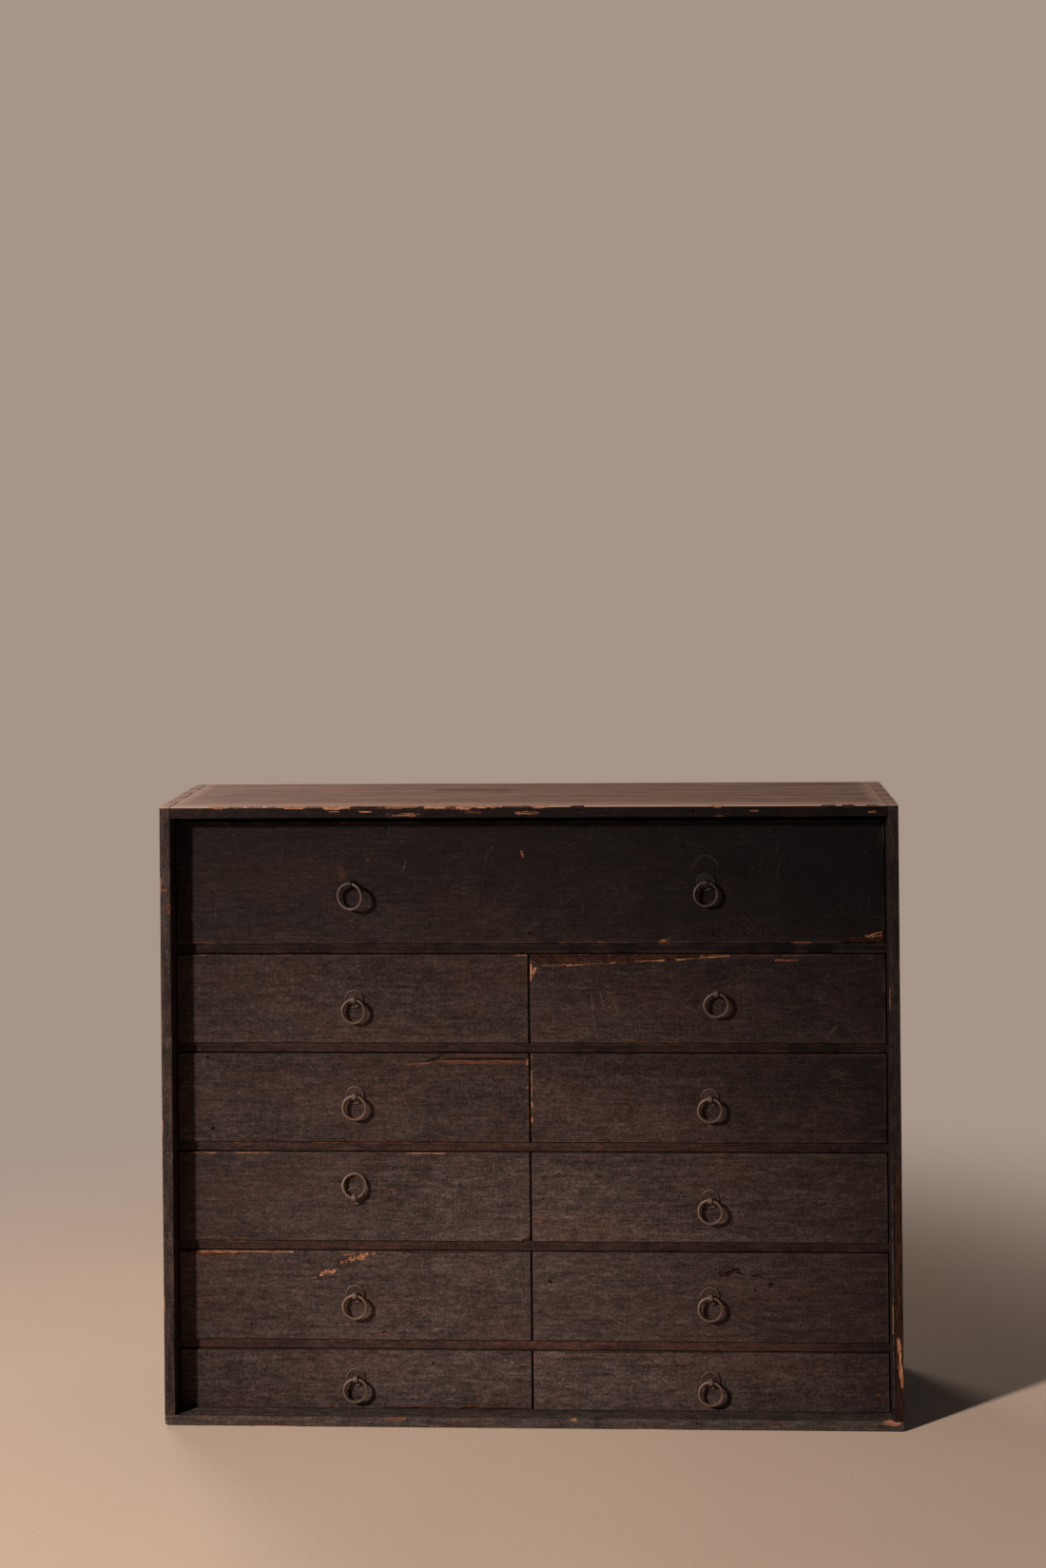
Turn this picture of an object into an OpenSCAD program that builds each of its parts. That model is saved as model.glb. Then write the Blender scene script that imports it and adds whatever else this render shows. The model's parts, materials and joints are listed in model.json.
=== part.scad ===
// Small chest of drawers: an open-fronted case of finger-jointed boards with one wide drawer
// over five rows of paired drawers, each pulled by a hanging iron ring.
// Front faces -Y, +Z is up, and the origin is on the floor under the middle of the case.

/* [Case] */
// Width across the two sides
case_w = 742; // [640:1:860]
// Depth from the front edges to the back
case_d = 212; // [180:1:300]
// Thickness of the top board
top_t = 12; // [10:0.5:16]
// Thickness of the bottom board
bottom_t = 10; // [9:0.5:16]
// Thickness of each side
side_t = 11; // [9.5:0.5:16]
// Fingers in each corner joint, counted from the front edge to the back
finger_count = 5; // [3:2:9]
// Bevel worn along the outer edges of the case
case_ease = 1; // [0.4:0.1:2]
// Distance that the drawer fronts stand back from the front edges
recess = 24; // [18:1:40]

/* [Back] */
// Thickness of the back boards
back_t = 7; // [5:0.5:9]
// Width of the rebate that holds the back boards
back_rebate = 5; // [3.5:0.5:7]
// Boards in the back, one above the other
back_count = 3; // [2:1:5]
// Overlap between one back board and the next
back_lap = 6; // [4:1:10]
// Seam left open between two back boards
back_seam = 0.6; // [0.3:0.1:1.5]

/* [Rails and shelves] */
// Height of the rail under each row of drawers
rail_t = 9.4; // [8:0.2:12]
// Depth of a rail from front to back
rail_d = 22; // [18:1:30]
// Distance that the rails stand back from the drawer fronts
rail_setback = 2.5; // [1:0.5:5]
// Thickness of the shelf boards behind the rails
shelf_t = 6; // [5:0.5:7.5]
// Overlap of a shelf board on its rail
shelf_lap = 8; // [5:1:12]
// Depth that rails and shelves are let into the sides
housing = 4.5; // [3:0.5:6]
// Thickness of the partitions between paired drawers
partition_t = 8; // [5:0.5:12]
// Depth that the partitions are let into the shelves
partition_tongue = 1.5; // [1:0.25:2]

/* [Rows] */
// Clear height of the top row
top_row_h = 130.7; // [108:0.1:154]
// Clear height of each middle row
row_h = 91; // [76:1:106]
// Clear height of the lowest row
low_row_h = 60.3; // [50:0.1:80]

/* [Drawers] */
// Thickness of the drawer fronts
front_t = 12; // [10:0.5:16]
// Bevel worn along the edges of a drawer front
front_ease = 0.7; // [0.3:0.1:1.5]
// Thickness of the drawer sides
drawer_side_t = 8; // [6:0.5:10]
// Thickness of the drawer backs
drawer_back_t = 7; // [5:0.5:10]
// Thickness of the drawer bottoms
drawer_bottom_t = 5; // [4:0.5:7]
// Depth that the sides and the bottom are let into a drawer front
front_rebate = 7; // [5:0.5:8.5]
// Distance that a drawer side stops short of the top of its front
side_drop = 1.5; // [0.5:0.5:4]
// Distance that a drawer back stops short of the top of its front
back_drop = 3; // [1:0.5:6]

/* [Gaps] */
// Gap between the outer ends of the drawer fronts and the sides
side_gap = 1.2; // [0.5:0.1:2]
// Gap between two paired drawer fronts
centre_gap = 2; // [1:0.1:3]
// Running clearance under a drawer
run_gap = 0.3; // [0.2:0.05:0.6]
// Gap over a drawer front
over_gap = 1.2; // [0.6:0.1:2.5]
// Gap over the shrunken front of the top drawer
top_row_gap = 5.9; // [1:0.1:8]
// Clearance between a drawer side and the partition beside it
guide_gap = 0.8; // [0.4:0.1:1.5]
// Clearance between a closed drawer and the back boards
stop_gap = 0.4; // [0.3:0.1:1]
// Clearance between a partition and the drawer fronts ahead of it
partition_gap = 0.5; // [0.3:0.1:1.5]
// Glue line between two joined boards
glue_gap = 0.05; // [0.02:0.01:0.1]

/* [Pulls] */
// Diameter of the round iron that a ring is made of
wire_d = 3.5; // [2.8:0.1:4]
// Radius of a ring, to the middle of the iron
ring_r = 11.5; // [10:0.5:13]
// Clearance between a ring and the edges of the eye that it hangs in
eye_play = 0.3; // [0.2:0.05:0.6]
// Thickness of the iron strap that forms the eye
strap_t = 1.3; // [1:0.1:1.6]
// Width of the strap
strap_w = 4.8; // [4:0.1:5]
// Distance from a drawer front to the middle of the eye
eye_stand = 6.5; // [6:0.1:8]
// Extra distance at the eye that has worked loose
loose_stand = 4; // [0:0.5:5]
// Angle by which the loose eye is turned from the front
loose_twist = 18; // [0:1:25]
// Radius of the larger ring in the loose eye, to the middle of the iron
loose_ring_r = 12.6; // [11:0.1:13]
// Length of each clinched leg inside the drawer
clinch = 12; // [8:0.5:14]
// Radius of the round plate behind the eye
plate_r = 9.7; // [7:0.1:11]
// Thickness of the plate
plate_t = 1; // [0.6:0.1:1.2]
// Radius of the half-round rim on the plate
rim_r = 0.8; // [0.5:0.1:1]
// Gap left where a ring leans against a drawer front
lean_gap = 0.3; // [0.3:0.05:0.6]

/* [Pegs] */
// Diameter of the bamboo pegs
peg_d = 2.4; // [2:0.1:3]
// Length of the pegs
peg_l = 22; // [16:1:26]
// Clearance round a peg or a pull's leg in its hole
hole_gap = 0.04; // [0.02:0.01:0.08]

/* [Hidden] */
$fn = 48;
cut = 2;
row_count = 6;

dark_wood = "#2f2723";
top_wood = "#4a3731";
rail_wood = "#3d2a24";
plain_wood = "#8a6a4c";
peg_wood = "#a5834f";
iron = "#4b4038";

// The rows and their rails, stacked between the bottom board and the top board
case_h = bottom_t + low_row_h + (row_count - 2) * row_h + top_row_h + (row_count - 1) * rail_t + top_t;
half_w = case_w / 2;
inner_x = half_w - side_t;
front_y = -case_d / 2;
back_y = case_d / 2;
back_face_y = back_y - back_t;
face_y = front_y + recess;
front_back_y = face_y + front_t;
rail_y = face_y + rail_setback;
rail_back_y = rail_y + rail_d;
shelf_y = rail_back_y - shelf_lap;
partition_y = front_back_y + partition_gap;
box_back_y = back_face_y - stop_gap;
socket_y = front_back_y - front_rebate;
finger_d = case_d / finger_count;

back_low = bottom_t - back_rebate;
back_high = case_h - top_t + back_rebate;
back_board_h = (back_high - back_low) / back_count;
back_peg_shares = [0.125, 0.375, 0.625, 0.875];

// Places of the pulls, left then right in each row: across the half width, up the front
pull_shares = [
    [[0.491, 0.50], [0.498, 0.50]],
    [[0.494, 0.50], [0.524, 0.57]],
    [[0.494, 0.53], [0.504, 0.51]],
    [[0.497, 0.51], [0.502, 0.49]],
    [[0.498, 0.52], [0.500, 0.52]],
    [[0.498, 0.54], [0.499, 0.53]]
];
// Pulls that have lost their plate, and the one whose eye is loose
BARE = [[1, -1], [2, 1]];
LOOSE = [[1, -1]];
// The pull whose ring is turned up against the front
RAISED = [[4, -1]];
neck_angle = 50;
tip_share = 0.3;
// Radius of the hole in the eye, with room for the bend of the ring across the strap
ring_bend = ring_r - sqrt(ring_r * ring_r - strap_w * strap_w / 4);
eye_hole_r = wire_d / 2 + ring_bend + eye_play;

// A drawer is its row, counted from the top, and its half: -1 left, 1 right, 0 both
DRAWERS = concat([[1, 0]], [for (row = [2 : row_count]) for (half = [-1, 1]) [row, half]]);
// A pull is its row and its hand
PULLS = [for (row = [1 : row_count]) for (hand = [-1, 1]) [row, hand]];

function half_name(half) = half < 0 ? "_left" : half > 0 ? "_right" : "";
function drawer_name(d) = str("drawer_", d[0], half_name(d[1]));
function ring_name(p) = str("ring_", p[0], half_name(p[1]));
function is_in(item, list) = len([for (entry = list) if (entry == item) entry]) > 0;

// Heights of a row's opening and of the drawer front in it
function row_floor(row) = row == row_count
    ? bottom_t
    : bottom_t + low_row_h + rail_t + (row_count - 1 - row) * (row_h + rail_t);
function row_ceiling(row) = row == 1 ? case_h - top_t : row_floor(row - 1) - rail_t;
function shelf_under(row) = row == 1 ? case_h - top_t : row_floor(row - 1) - shelf_t;
function front_low(row) = row_floor(row) + run_gap;
function front_high(row) = row_ceiling(row) - (row == 1 ? top_row_gap : over_gap);
function box_low(row) = front_low(row) + drawer_bottom_t;

// Ends of a drawer front, and of the box behind it
function front_left(half) = half > 0 ? centre_gap / 2 : side_gap - inner_x;
function front_right(half) = half < 0 ? -centre_gap / 2 : inner_x - side_gap;
function box_left(half) = half > 0 ? partition_t / 2 + guide_gap : front_left(half);
function box_right(half) = half < 0 ? -partition_t / 2 - guide_gap : front_right(half);

// Place of a pull's eye, and how its ring sits
function pull_share(p) = pull_shares[p[0] - 1][p[1] < 0 ? 0 : 1];
function pull_x(p) = p[1] * inner_x * pull_share(p)[0];
function pull_z(p) = front_low(p[0]) + pull_share(p)[1] * (front_high(p[0]) - front_low(p[0]));
function stand(p) = eye_stand + (is_in(p, LOOSE) ? loose_stand : 0);
function twist(p) = is_in(p, LOOSE) ? -loose_twist : 0;
function ring_radius(p) = is_in(p, LOOSE) ? loose_ring_r : ring_r;
function lean(p) = asin((stand(p) - wire_d / 2 - lean_gap) / (2 * ring_radius(p)));
function drawer_pulls(d) = [for (p = PULLS) if (p[0] == d[0] && (d[1] == 0 || p[1] == d[1])) p];

// A block between two corners
module block(low, high) {
    translate(low)
        cube(high - low);
}

// A solid and its mirror image on the other side of the chest
module both_sides() {
    children();
    mirror([1, 0, 0])
        children();
}

// An outline in depth and height, drawn along the width
module along_x(from, to) {
    translate([from, 0, 0])
        rotate([90, 0, 90])
            linear_extrude(to - from)
                children();
}

// An outline in width and height, drawn along the depth
module along_y(from, to) {
    translate([0, to, 0])
        rotate([90, 0, 0])
            linear_extrude(to - from)
                children();
}

// A rectangle with all four corners cut off
module eased_rectangle(low, high, ease) {
    polygon([
        [low.x + ease, low.y], [high.x - ease, low.y], [high.x, low.y + ease], [high.x, high.y - ease],
        [high.x - ease, high.y], [low.x + ease, high.y], [low.x, high.y - ease], [low.x, low.y + ease]
    ]);
}

// The outside of the whole case, with its edges eased
module case_outside() {
    intersection() {
        linear_extrude(case_h)
            eased_rectangle([-half_w, front_y], [half_w, back_y], case_ease);
        along_x(-half_w, half_w)
            eased_rectangle([front_y, 0], [back_y, case_h], case_ease);
        along_y(front_y, back_y)
            eased_rectangle([-half_w, 0], [half_w, case_h], case_ease);
    }
}

// The corner cells of every second finger at the right end, from the finger first
module finger_cells(first, x_low, z_low, z_high) {
    for (i = [first : 2 : finger_count - 1])
        block(
            [x_low, front_y + i * finger_d - (i == 0 ? cut : 0), z_low],
            [half_w + cut, front_y + (i + 1) * finger_d + (i == finger_count - 1 ? cut : 0), z_high]
        );
}

// Pegs through the fingers at the right end, spread by the gap round them
module corner_peg_set(gap) {
    for (i = [0 : finger_count - 1]) {
        y = front_y + (i + 0.5) * finger_d;
        through_side = [[i % 2 == 0, case_h - top_t / 2], [i % 2 == 1, bottom_t / 2]];
        for (place = through_side)
            if (place[0])
                translate([half_w - peg_l, y, place[1]])
                    rotate([0, 90, 0])
                        cylinder(d = peg_d + 2 * gap, h = peg_l + (gap > 0 ? cut : 0));
        if (i % 2 == 1)
            translate([half_w - side_t / 2, y, case_h - peg_l])
                cylinder(d = peg_d + 2 * gap, h = peg_l + (gap > 0 ? cut : 0));
        if (i % 2 == 0)
            translate([half_w - side_t / 2, y, gap > 0 ? -cut : 0])
                cylinder(d = peg_d + 2 * gap, h = peg_l + (gap > 0 ? cut : 0));
    }
}

// Pegs through the back boards into the case, spread by the gap round them
module back_peg_set(gap) {
    places = concat(
        [for (row = [1 : row_count]) for (hand = [-1, 1])
            [hand * (inner_x + back_rebate / 2), (row_floor(row) + row_ceiling(row)) / 2]],
        [for (share = back_peg_shares) for (z = [back_low, back_high - back_rebate])
            [(2 * share - 1) * inner_x, z + back_rebate / 2]]
    );
    for (place = places)
        translate([place[0], back_y + (gap > 0 ? cut : 0), place[1]])
            rotate([90, 0, 0])
                cylinder(d = peg_d + 2 * gap, h = peg_l + (gap > 0 ? cut : 0));
}

// Room for the back boards
module back_space() {
    block(
        [-inner_x - back_rebate, back_face_y, back_low],
        [inner_x + back_rebate, back_y + cut, back_high]
    );
}

module case_top() {
    color(top_wood)
        difference() {
            intersection() {
                case_outside();
                block([-half_w, front_y, case_h - top_t], [half_w, back_y, case_h]);
            }
            both_sides()
                finger_cells(0, inner_x, case_h - top_t - cut, case_h + cut);
            back_space();
            both_sides()
                corner_peg_set(hole_gap);
            back_peg_set(hole_gap);
        }
}

module case_bottom() {
    color(dark_wood)
        difference() {
            intersection() {
                case_outside();
                block([-half_w, front_y, 0], [half_w, back_y, bottom_t]);
            }
            both_sides()
                finger_cells(1, inner_x, -cut, bottom_t + cut);
            back_space();
            partition_solid(row_count);
            both_sides()
                corner_peg_set(hole_gap);
            back_peg_set(hole_gap);
        }
}

// The right side, fingered into the top and the bottom and housed for rails and shelves
module case_side() {
    color(dark_wood)
        difference() {
            intersection() {
                case_outside();
                block([inner_x, front_y, 0], [half_w, back_y, case_h]);
            }
            finger_cells(1, inner_x - cut, case_h - top_t, case_h + cut);
            finger_cells(0, inner_x - cut, -cut, bottom_t);
            back_space();
            for (row = [1 : row_count - 1]) {
                rail_solid(row);
                shelf_solid(row);
            }
            corner_peg_set(hole_gap);
            back_peg_set(hole_gap);
        }
}

// Shiplapped boards, each lapping over the one below it
module back_boards() {
    middle_y = (back_face_y + back_y) / 2;
    color(plain_wood)
        difference() {
            for (i = [0 : back_count - 1]) {
                low = back_low + i * back_board_h;
                high = low + back_board_h;
                low_lap = i == 0 ? 0 : back_lap / 2;
                high_lap = i == back_count - 1 ? 0 : back_lap / 2;
                seam = i == back_count - 1 ? 0 : back_seam;
                ahead_y = middle_y - glue_gap / 2;
                behind_y = middle_y + glue_gap / 2;
                along_x(-inner_x - back_rebate, inner_x + back_rebate)
                    polygon([
                        [back_face_y, low - low_lap], [ahead_y, low - low_lap],
                        [ahead_y, low + low_lap], [back_y, low + low_lap],
                        [back_y, high + high_lap - seam], [behind_y, high + high_lap - seam],
                        [behind_y, high - high_lap - seam], [back_face_y, high - high_lap - seam]
                    ]);
            }
            back_peg_set(hole_gap);
        }
}

// A rail from housing to housing, stepped behind for its shelf board
module rail_solid(row) {
    top = row_floor(row);
    along_x(-inner_x - housing, inner_x + housing)
        polygon([
            [rail_y, top - rail_t], [rail_back_y, top - rail_t], [rail_back_y, top - shelf_t],
            [shelf_y, top - shelf_t], [shelf_y, top], [rail_y, top]
        ]);
}

// A shelf board before its grooves are cut
module shelf_solid(row) {
    block(
        [-inner_x - housing, shelf_y, row_floor(row) - shelf_t],
        [inner_x + housing, back_face_y, row_floor(row)]
    );
}

// The partition of a row, tongued into the boards under and over it behind the rails
module partition_solid(row) {
    low = row_floor(row);
    high = shelf_under(row);
    along_x(-partition_t / 2, partition_t / 2)
        polygon([
            [partition_y, low], [rail_back_y, low], [rail_back_y, low - partition_tongue],
            [back_face_y, low - partition_tongue], [back_face_y, high + partition_tongue],
            [rail_back_y, high + partition_tongue], [rail_back_y, row_ceiling(row)],
            [partition_y, row_ceiling(row)]
        ]);
}

module rail(row) {
    color(rail_wood)
        rail_solid(row);
}

module shelf_boards() {
    color(plain_wood)
        for (row = [1 : row_count - 1])
            difference() {
                shelf_solid(row);
                if (row > 1)
                    partition_solid(row);
                partition_solid(row + 1);
            }
}

module partitions() {
    color(plain_wood)
        for (row = [2 : row_count])
            partition_solid(row);
}

module corner_pegs() {
    color(peg_wood)
        both_sides()
            corner_peg_set(0);
}

module back_pegs() {
    color(peg_wood)
        back_peg_set(0);
}

// The middle finger of a drawer's back, spread by the gap round it
module back_finger(d, gap) {
    low = box_low(d[0]) + glue_gap;
    third = (front_high(d[0]) - back_drop - low) / 3;
    block(
        [box_left(d[1]) - gap, box_back_y - drawer_back_t - gap, low + third - gap],
        [box_right(d[1]) + gap, box_back_y + gap, low + 2 * third + gap]
    );
}

// The two sides of a drawer, notched behind for the middle finger of its back
module drawer_sides(d) {
    difference() {
        for (x = [box_left(d[1]), box_right(d[1]) - drawer_side_t])
            block(
                [x, socket_y, box_low(d[0]) + glue_gap],
                [x + drawer_side_t, box_back_y, front_high(d[0]) - side_drop]
            );
        back_finger(d, glue_gap);
    }
}

// The back of a drawer: between the sides, with its middle finger through them
module drawer_back(d) {
    between = drawer_side_t + glue_gap;
    block(
        [box_left(d[1]) + between, box_back_y - drawer_back_t, box_low(d[0]) + glue_gap],
        [box_right(d[1]) - between, box_back_y, front_high(d[0]) - back_drop]
    );
    back_finger(d, 0);
}

module drawer_bottom(d) {
    block(
        [box_left(d[1]), socket_y, front_low(d[0])],
        [box_right(d[1]), box_back_y, box_low(d[0])]
    );
}

// The front before its joints are cut, with the edges round its face eased
module front_blank(d) {
    low = front_low(d[0]);
    high = front_high(d[0]);
    left = front_left(d[1]);
    right = front_right(d[1]);
    intersection() {
        along_x(left, right)
            polygon([
                [face_y, low + front_ease], [face_y + front_ease, low], [front_back_y, low],
                [front_back_y, high], [face_y + front_ease, high], [face_y, high - front_ease]
            ]);
        translate([0, 0, low])
            linear_extrude(high - low)
                polygon([
                    [left + front_ease, face_y], [right - front_ease, face_y],
                    [right, face_y + front_ease], [right, front_back_y],
                    [left, front_back_y], [left, face_y + front_ease]
                ]);
    }
}

// Sockets in the front for the sides and the bottom, open at the ends that the sides reach
module front_sockets(d) {
    left_end = box_left(d[1]) - (d[1] > 0 ? 0 : cut);
    right_end = box_right(d[1]) + (d[1] < 0 ? 0 : cut);
    side_high = front_high(d[0]) - side_drop;
    block([left_end, socket_y, front_low(d[0]) - cut], [right_end, front_back_y + cut, box_low(d[0])]);
    block(
        [left_end, socket_y, front_low(d[0])],
        [box_left(d[1]) + drawer_side_t, front_back_y + cut, side_high]
    );
    block(
        [box_right(d[1]) - drawer_side_t, socket_y, front_low(d[0])],
        [right_end, front_back_y + cut, side_high]
    );
}

module drawer_front(d) {
    color(dark_wood)
        difference() {
            front_blank(d);
            front_sockets(d);
            for (p = drawer_pulls(d))
                block(
                    [pull_x(p) - strap_w / 2 - hole_gap, face_y - cut, pull_z(p) - strap_t - hole_gap],
                    [pull_x(p) + strap_w / 2 + hole_gap, front_back_y + cut, pull_z(p) + strap_t + hole_gap]
                );
        }
}

module drawer_box(d) {
    color(plain_wood) {
        drawer_sides(d);
        drawer_back(d);
        drawer_bottom(d);
    }
}

// The bent end of the strap: a round loop drawn in to two legs side by side
module eye_loop(reach) {
    eye_r = eye_hole_r + strap_t;
    along_x(-strap_w / 2, strap_w / 2)
        difference() {
            union() {
                circle(eye_r);
                polygon([
                    [eye_r * cos(neck_angle), eye_r * sin(neck_angle)],
                    [eye_r * cos(neck_angle), -eye_r * sin(neck_angle)],
                    [reach, -strap_t], [reach, strap_t]
                ]);
            }
            circle(eye_hole_r);
        }
}

// The legs through the front, clinched up and down against its inner face
module eye_legs() {
    tip = clinch * tip_share;
    block([-strap_w / 2, -plate_t, -strap_t], [strap_w / 2, front_t, strap_t]);
    along_y(front_t, front_t + strap_t)
        polygon([
            [-strap_w / 2, tip - clinch], [0, -clinch], [strap_w / 2, tip - clinch],
            [strap_w / 2, clinch - tip], [0, clinch], [-strap_w / 2, clinch - tip]
        ]);
}

// A thin round plate with a half-round rim, slotted for the legs
module eye_plate() {
    difference() {
        rotate([90, 0, 0])
            rotate_extrude()
                union() {
                    square([plate_r, plate_t]);
                    intersection() {
                        translate([plate_r - rim_r, plate_t])
                            circle(rim_r);
                        translate([plate_r - 2 * rim_r, plate_t])
                            square([2 * rim_r, rim_r]);
                    }
                }
        block(
            [-strap_w / 2 - hole_gap, -plate_t - rim_r - cut, -strap_t - hole_gap],
            [strap_w / 2 + hole_gap, cut, strap_t + hole_gap]
        );
    }
}

module drawer_eye(d) {
    color(iron)
        for (p = drawer_pulls(d))
            translate([pull_x(p), face_y, pull_z(p)]) {
                if (!is_in(p, BARE))
                    eye_plate();
                eye_legs();
                rotate([0, 0, twist(p)])
                    translate([0, -stand(p), 0])
                        eye_loop(stand(p) - plate_t * cos(twist(p)));
            }
}

// A ring hanging in its eye, or turned up until it leans on the front
module ring(p) {
    color(iron)
        translate([pull_x(p), face_y, pull_z(p)])
            rotate([0, 0, twist(p)])
                translate([0, -stand(p), 0])
                    rotate([is_in(p, RAISED) ? 180 - lean(p) : 0, 0, 0])
                        translate([0, 0, -ring_radius(p)])
                            rotate([90, 0, 0])
                                rotate_extrude()
                                    translate([ring_radius(p), 0])
                                        circle(d = wire_d);
}

case_top();
case_bottom();
mirror([1, 0, 0]) case_side();  // side_left
case_side();  // side_right
back_boards();
for (row = [1 : row_count - 1])
    rail(row);
shelf_boards();
partitions();
corner_pegs();
back_pegs();
for (d = DRAWERS) {
    drawer_front(d);
    drawer_box(d);
    drawer_eye(d);
}
for (p = PULLS)
    ring(p);
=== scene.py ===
"""The looks of an old chest of drawers: worn, stained boards with chipped edges, and rusty iron ring pulls."""
import json
import math

import bpy
import numpy as np
from mathutils import Matrix, Vector

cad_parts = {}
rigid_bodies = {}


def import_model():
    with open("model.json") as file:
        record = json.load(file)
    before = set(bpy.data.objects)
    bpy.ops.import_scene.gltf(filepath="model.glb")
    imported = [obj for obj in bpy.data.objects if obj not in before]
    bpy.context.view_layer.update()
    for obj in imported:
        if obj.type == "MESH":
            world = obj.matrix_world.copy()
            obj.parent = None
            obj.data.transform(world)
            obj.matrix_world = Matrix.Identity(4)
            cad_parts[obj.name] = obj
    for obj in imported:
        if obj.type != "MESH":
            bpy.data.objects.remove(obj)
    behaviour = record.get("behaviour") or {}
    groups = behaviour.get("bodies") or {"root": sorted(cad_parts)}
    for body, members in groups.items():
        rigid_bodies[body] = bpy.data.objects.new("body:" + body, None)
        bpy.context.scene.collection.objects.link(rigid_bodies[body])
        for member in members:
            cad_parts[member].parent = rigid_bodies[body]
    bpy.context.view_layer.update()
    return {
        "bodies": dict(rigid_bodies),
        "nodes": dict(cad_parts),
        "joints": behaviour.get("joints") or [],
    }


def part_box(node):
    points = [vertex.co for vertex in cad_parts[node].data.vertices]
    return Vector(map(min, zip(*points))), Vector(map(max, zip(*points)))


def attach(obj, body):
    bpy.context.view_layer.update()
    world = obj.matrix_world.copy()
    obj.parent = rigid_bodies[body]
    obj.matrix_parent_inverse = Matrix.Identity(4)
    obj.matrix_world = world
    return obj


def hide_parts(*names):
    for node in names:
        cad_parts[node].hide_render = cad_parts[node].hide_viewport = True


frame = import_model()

MM = 0.001
X, Y, Z = 0, 1, 2

# Sizes of the joints between the boards, in millimetres, as in part.scad
SIDE_T, TOP_T, BOTTOM_T, BACK_T = 11.0, 12.0, 10.0, 7.0
FINGERS, BACK_REBATE, HOUSING = 5, 5.0, 4.5
RAIL_T, SHELF_T, TONGUE, PARTITION_T = 9.4, 6.0, 1.5, 8.0
FRONT_REBATE, BOX_SIDE_T, BOX_BACK_T, BOX_BOTTOM_T = 7.0, 8.0, 7.0, 5.0
GLUE, SEAM = 0.05, 0.2
SHELF_FRONT, PARTITION_FRONT = -65.5, -57.5
RAILS = range(1, 6)
PAST, FAR = 9.0, 999.0  # how far a cut reaches past its board

# The edges of a board that are seen from the front, each by its two faces
FRONT = (Y, -1)
EDGES = {"top": (*FRONT, Z, 1), "low": (*FRONT, Z, -1), "left": (*FRONT, X, -1), "right": (*FRONT, X, 1),
         "leftfoot": (X, -1, Z, -1), "rightfoot": (X, 1, Z, -1)}


def box_of(node):
    """The two corners of a CAD node's box, in millimetres."""
    lo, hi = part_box(node)
    return [v / MM for v in lo], [v / MM for v in hi]


# ---------------------------------------------------------------- camera

def add_camera():
    """The camera that the case's six visible corners give, level and shifted as the photograph is."""
    data = bpy.data.cameras.new("camera")
    data.lens = 57.85
    data.sensor_width = 36.0
    data.shift_y = -0.1727
    camera = bpy.data.objects.new("camera", data)
    bpy.context.scene.collection.objects.link(camera)
    turn = Matrix.Rotation(math.radians(2.926), 4, "Z") @ Matrix.Rotation(math.radians(90.0), 4, "X")
    turn = turn @ Matrix.Rotation(math.radians(-0.547), 4, "Z")
    camera.matrix_world = Matrix.Translation((0.1287, -2.6271, 0.9171)) @ turn
    bpy.context.scene.camera = camera


# ---------------------------------------------------------------- noise

def lattice_value(ix, iy, iz, seed):
    h = (ix * 374761393 + iy * 668265263 + iz * 1440662683 + seed * 974634777) & 0xFFFFFFFF
    for shift, factor in ((13, 1274126177), (16, 2246822519)):
        h = ((h ^ (h >> shift)) * factor) & 0xFFFFFFFF
    return (h ^ (h >> 15)) / 4294967295.0


def noise(points, size, seed=0):
    """Smooth random values from 0 to 1 at points, with features of that size."""
    q = points / np.asarray(size, float) + 1000.0
    cell = np.floor(q).astype(np.int64)
    f = q - cell
    f = f * f * (3 - 2 * f)
    total = np.zeros(len(points))
    for corner in range(8):
        step = np.array([corner & 1, corner >> 1 & 1, corner >> 2 & 1])
        weight = np.prod(np.where(step, f, 1 - f), axis=1)
        at = cell + step
        total += weight * lattice_value(at[:, 0], at[:, 1], at[:, 2], seed)
    return total


def layered(points, size, seed=0, octaves=3):
    """Noise with finer and fainter noise added to it."""
    total, weight, reach = np.zeros(len(points)), 0.0, 1.0
    size = np.asarray(size, float)
    for i in range(octaves):
        total += reach * noise(points, size / 2 ** i, seed + 17 * i)
        weight += reach
        reach *= 0.55
    return total / weight


def smooth(value, low, high):
    """From 0 at low to 1 at high, with soft ends."""
    t = np.clip((value - low) / (high - low), 0, 1)
    return t * t * (3 - 2 * t)


# ---------------------------------------------------------------- shaders

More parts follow.
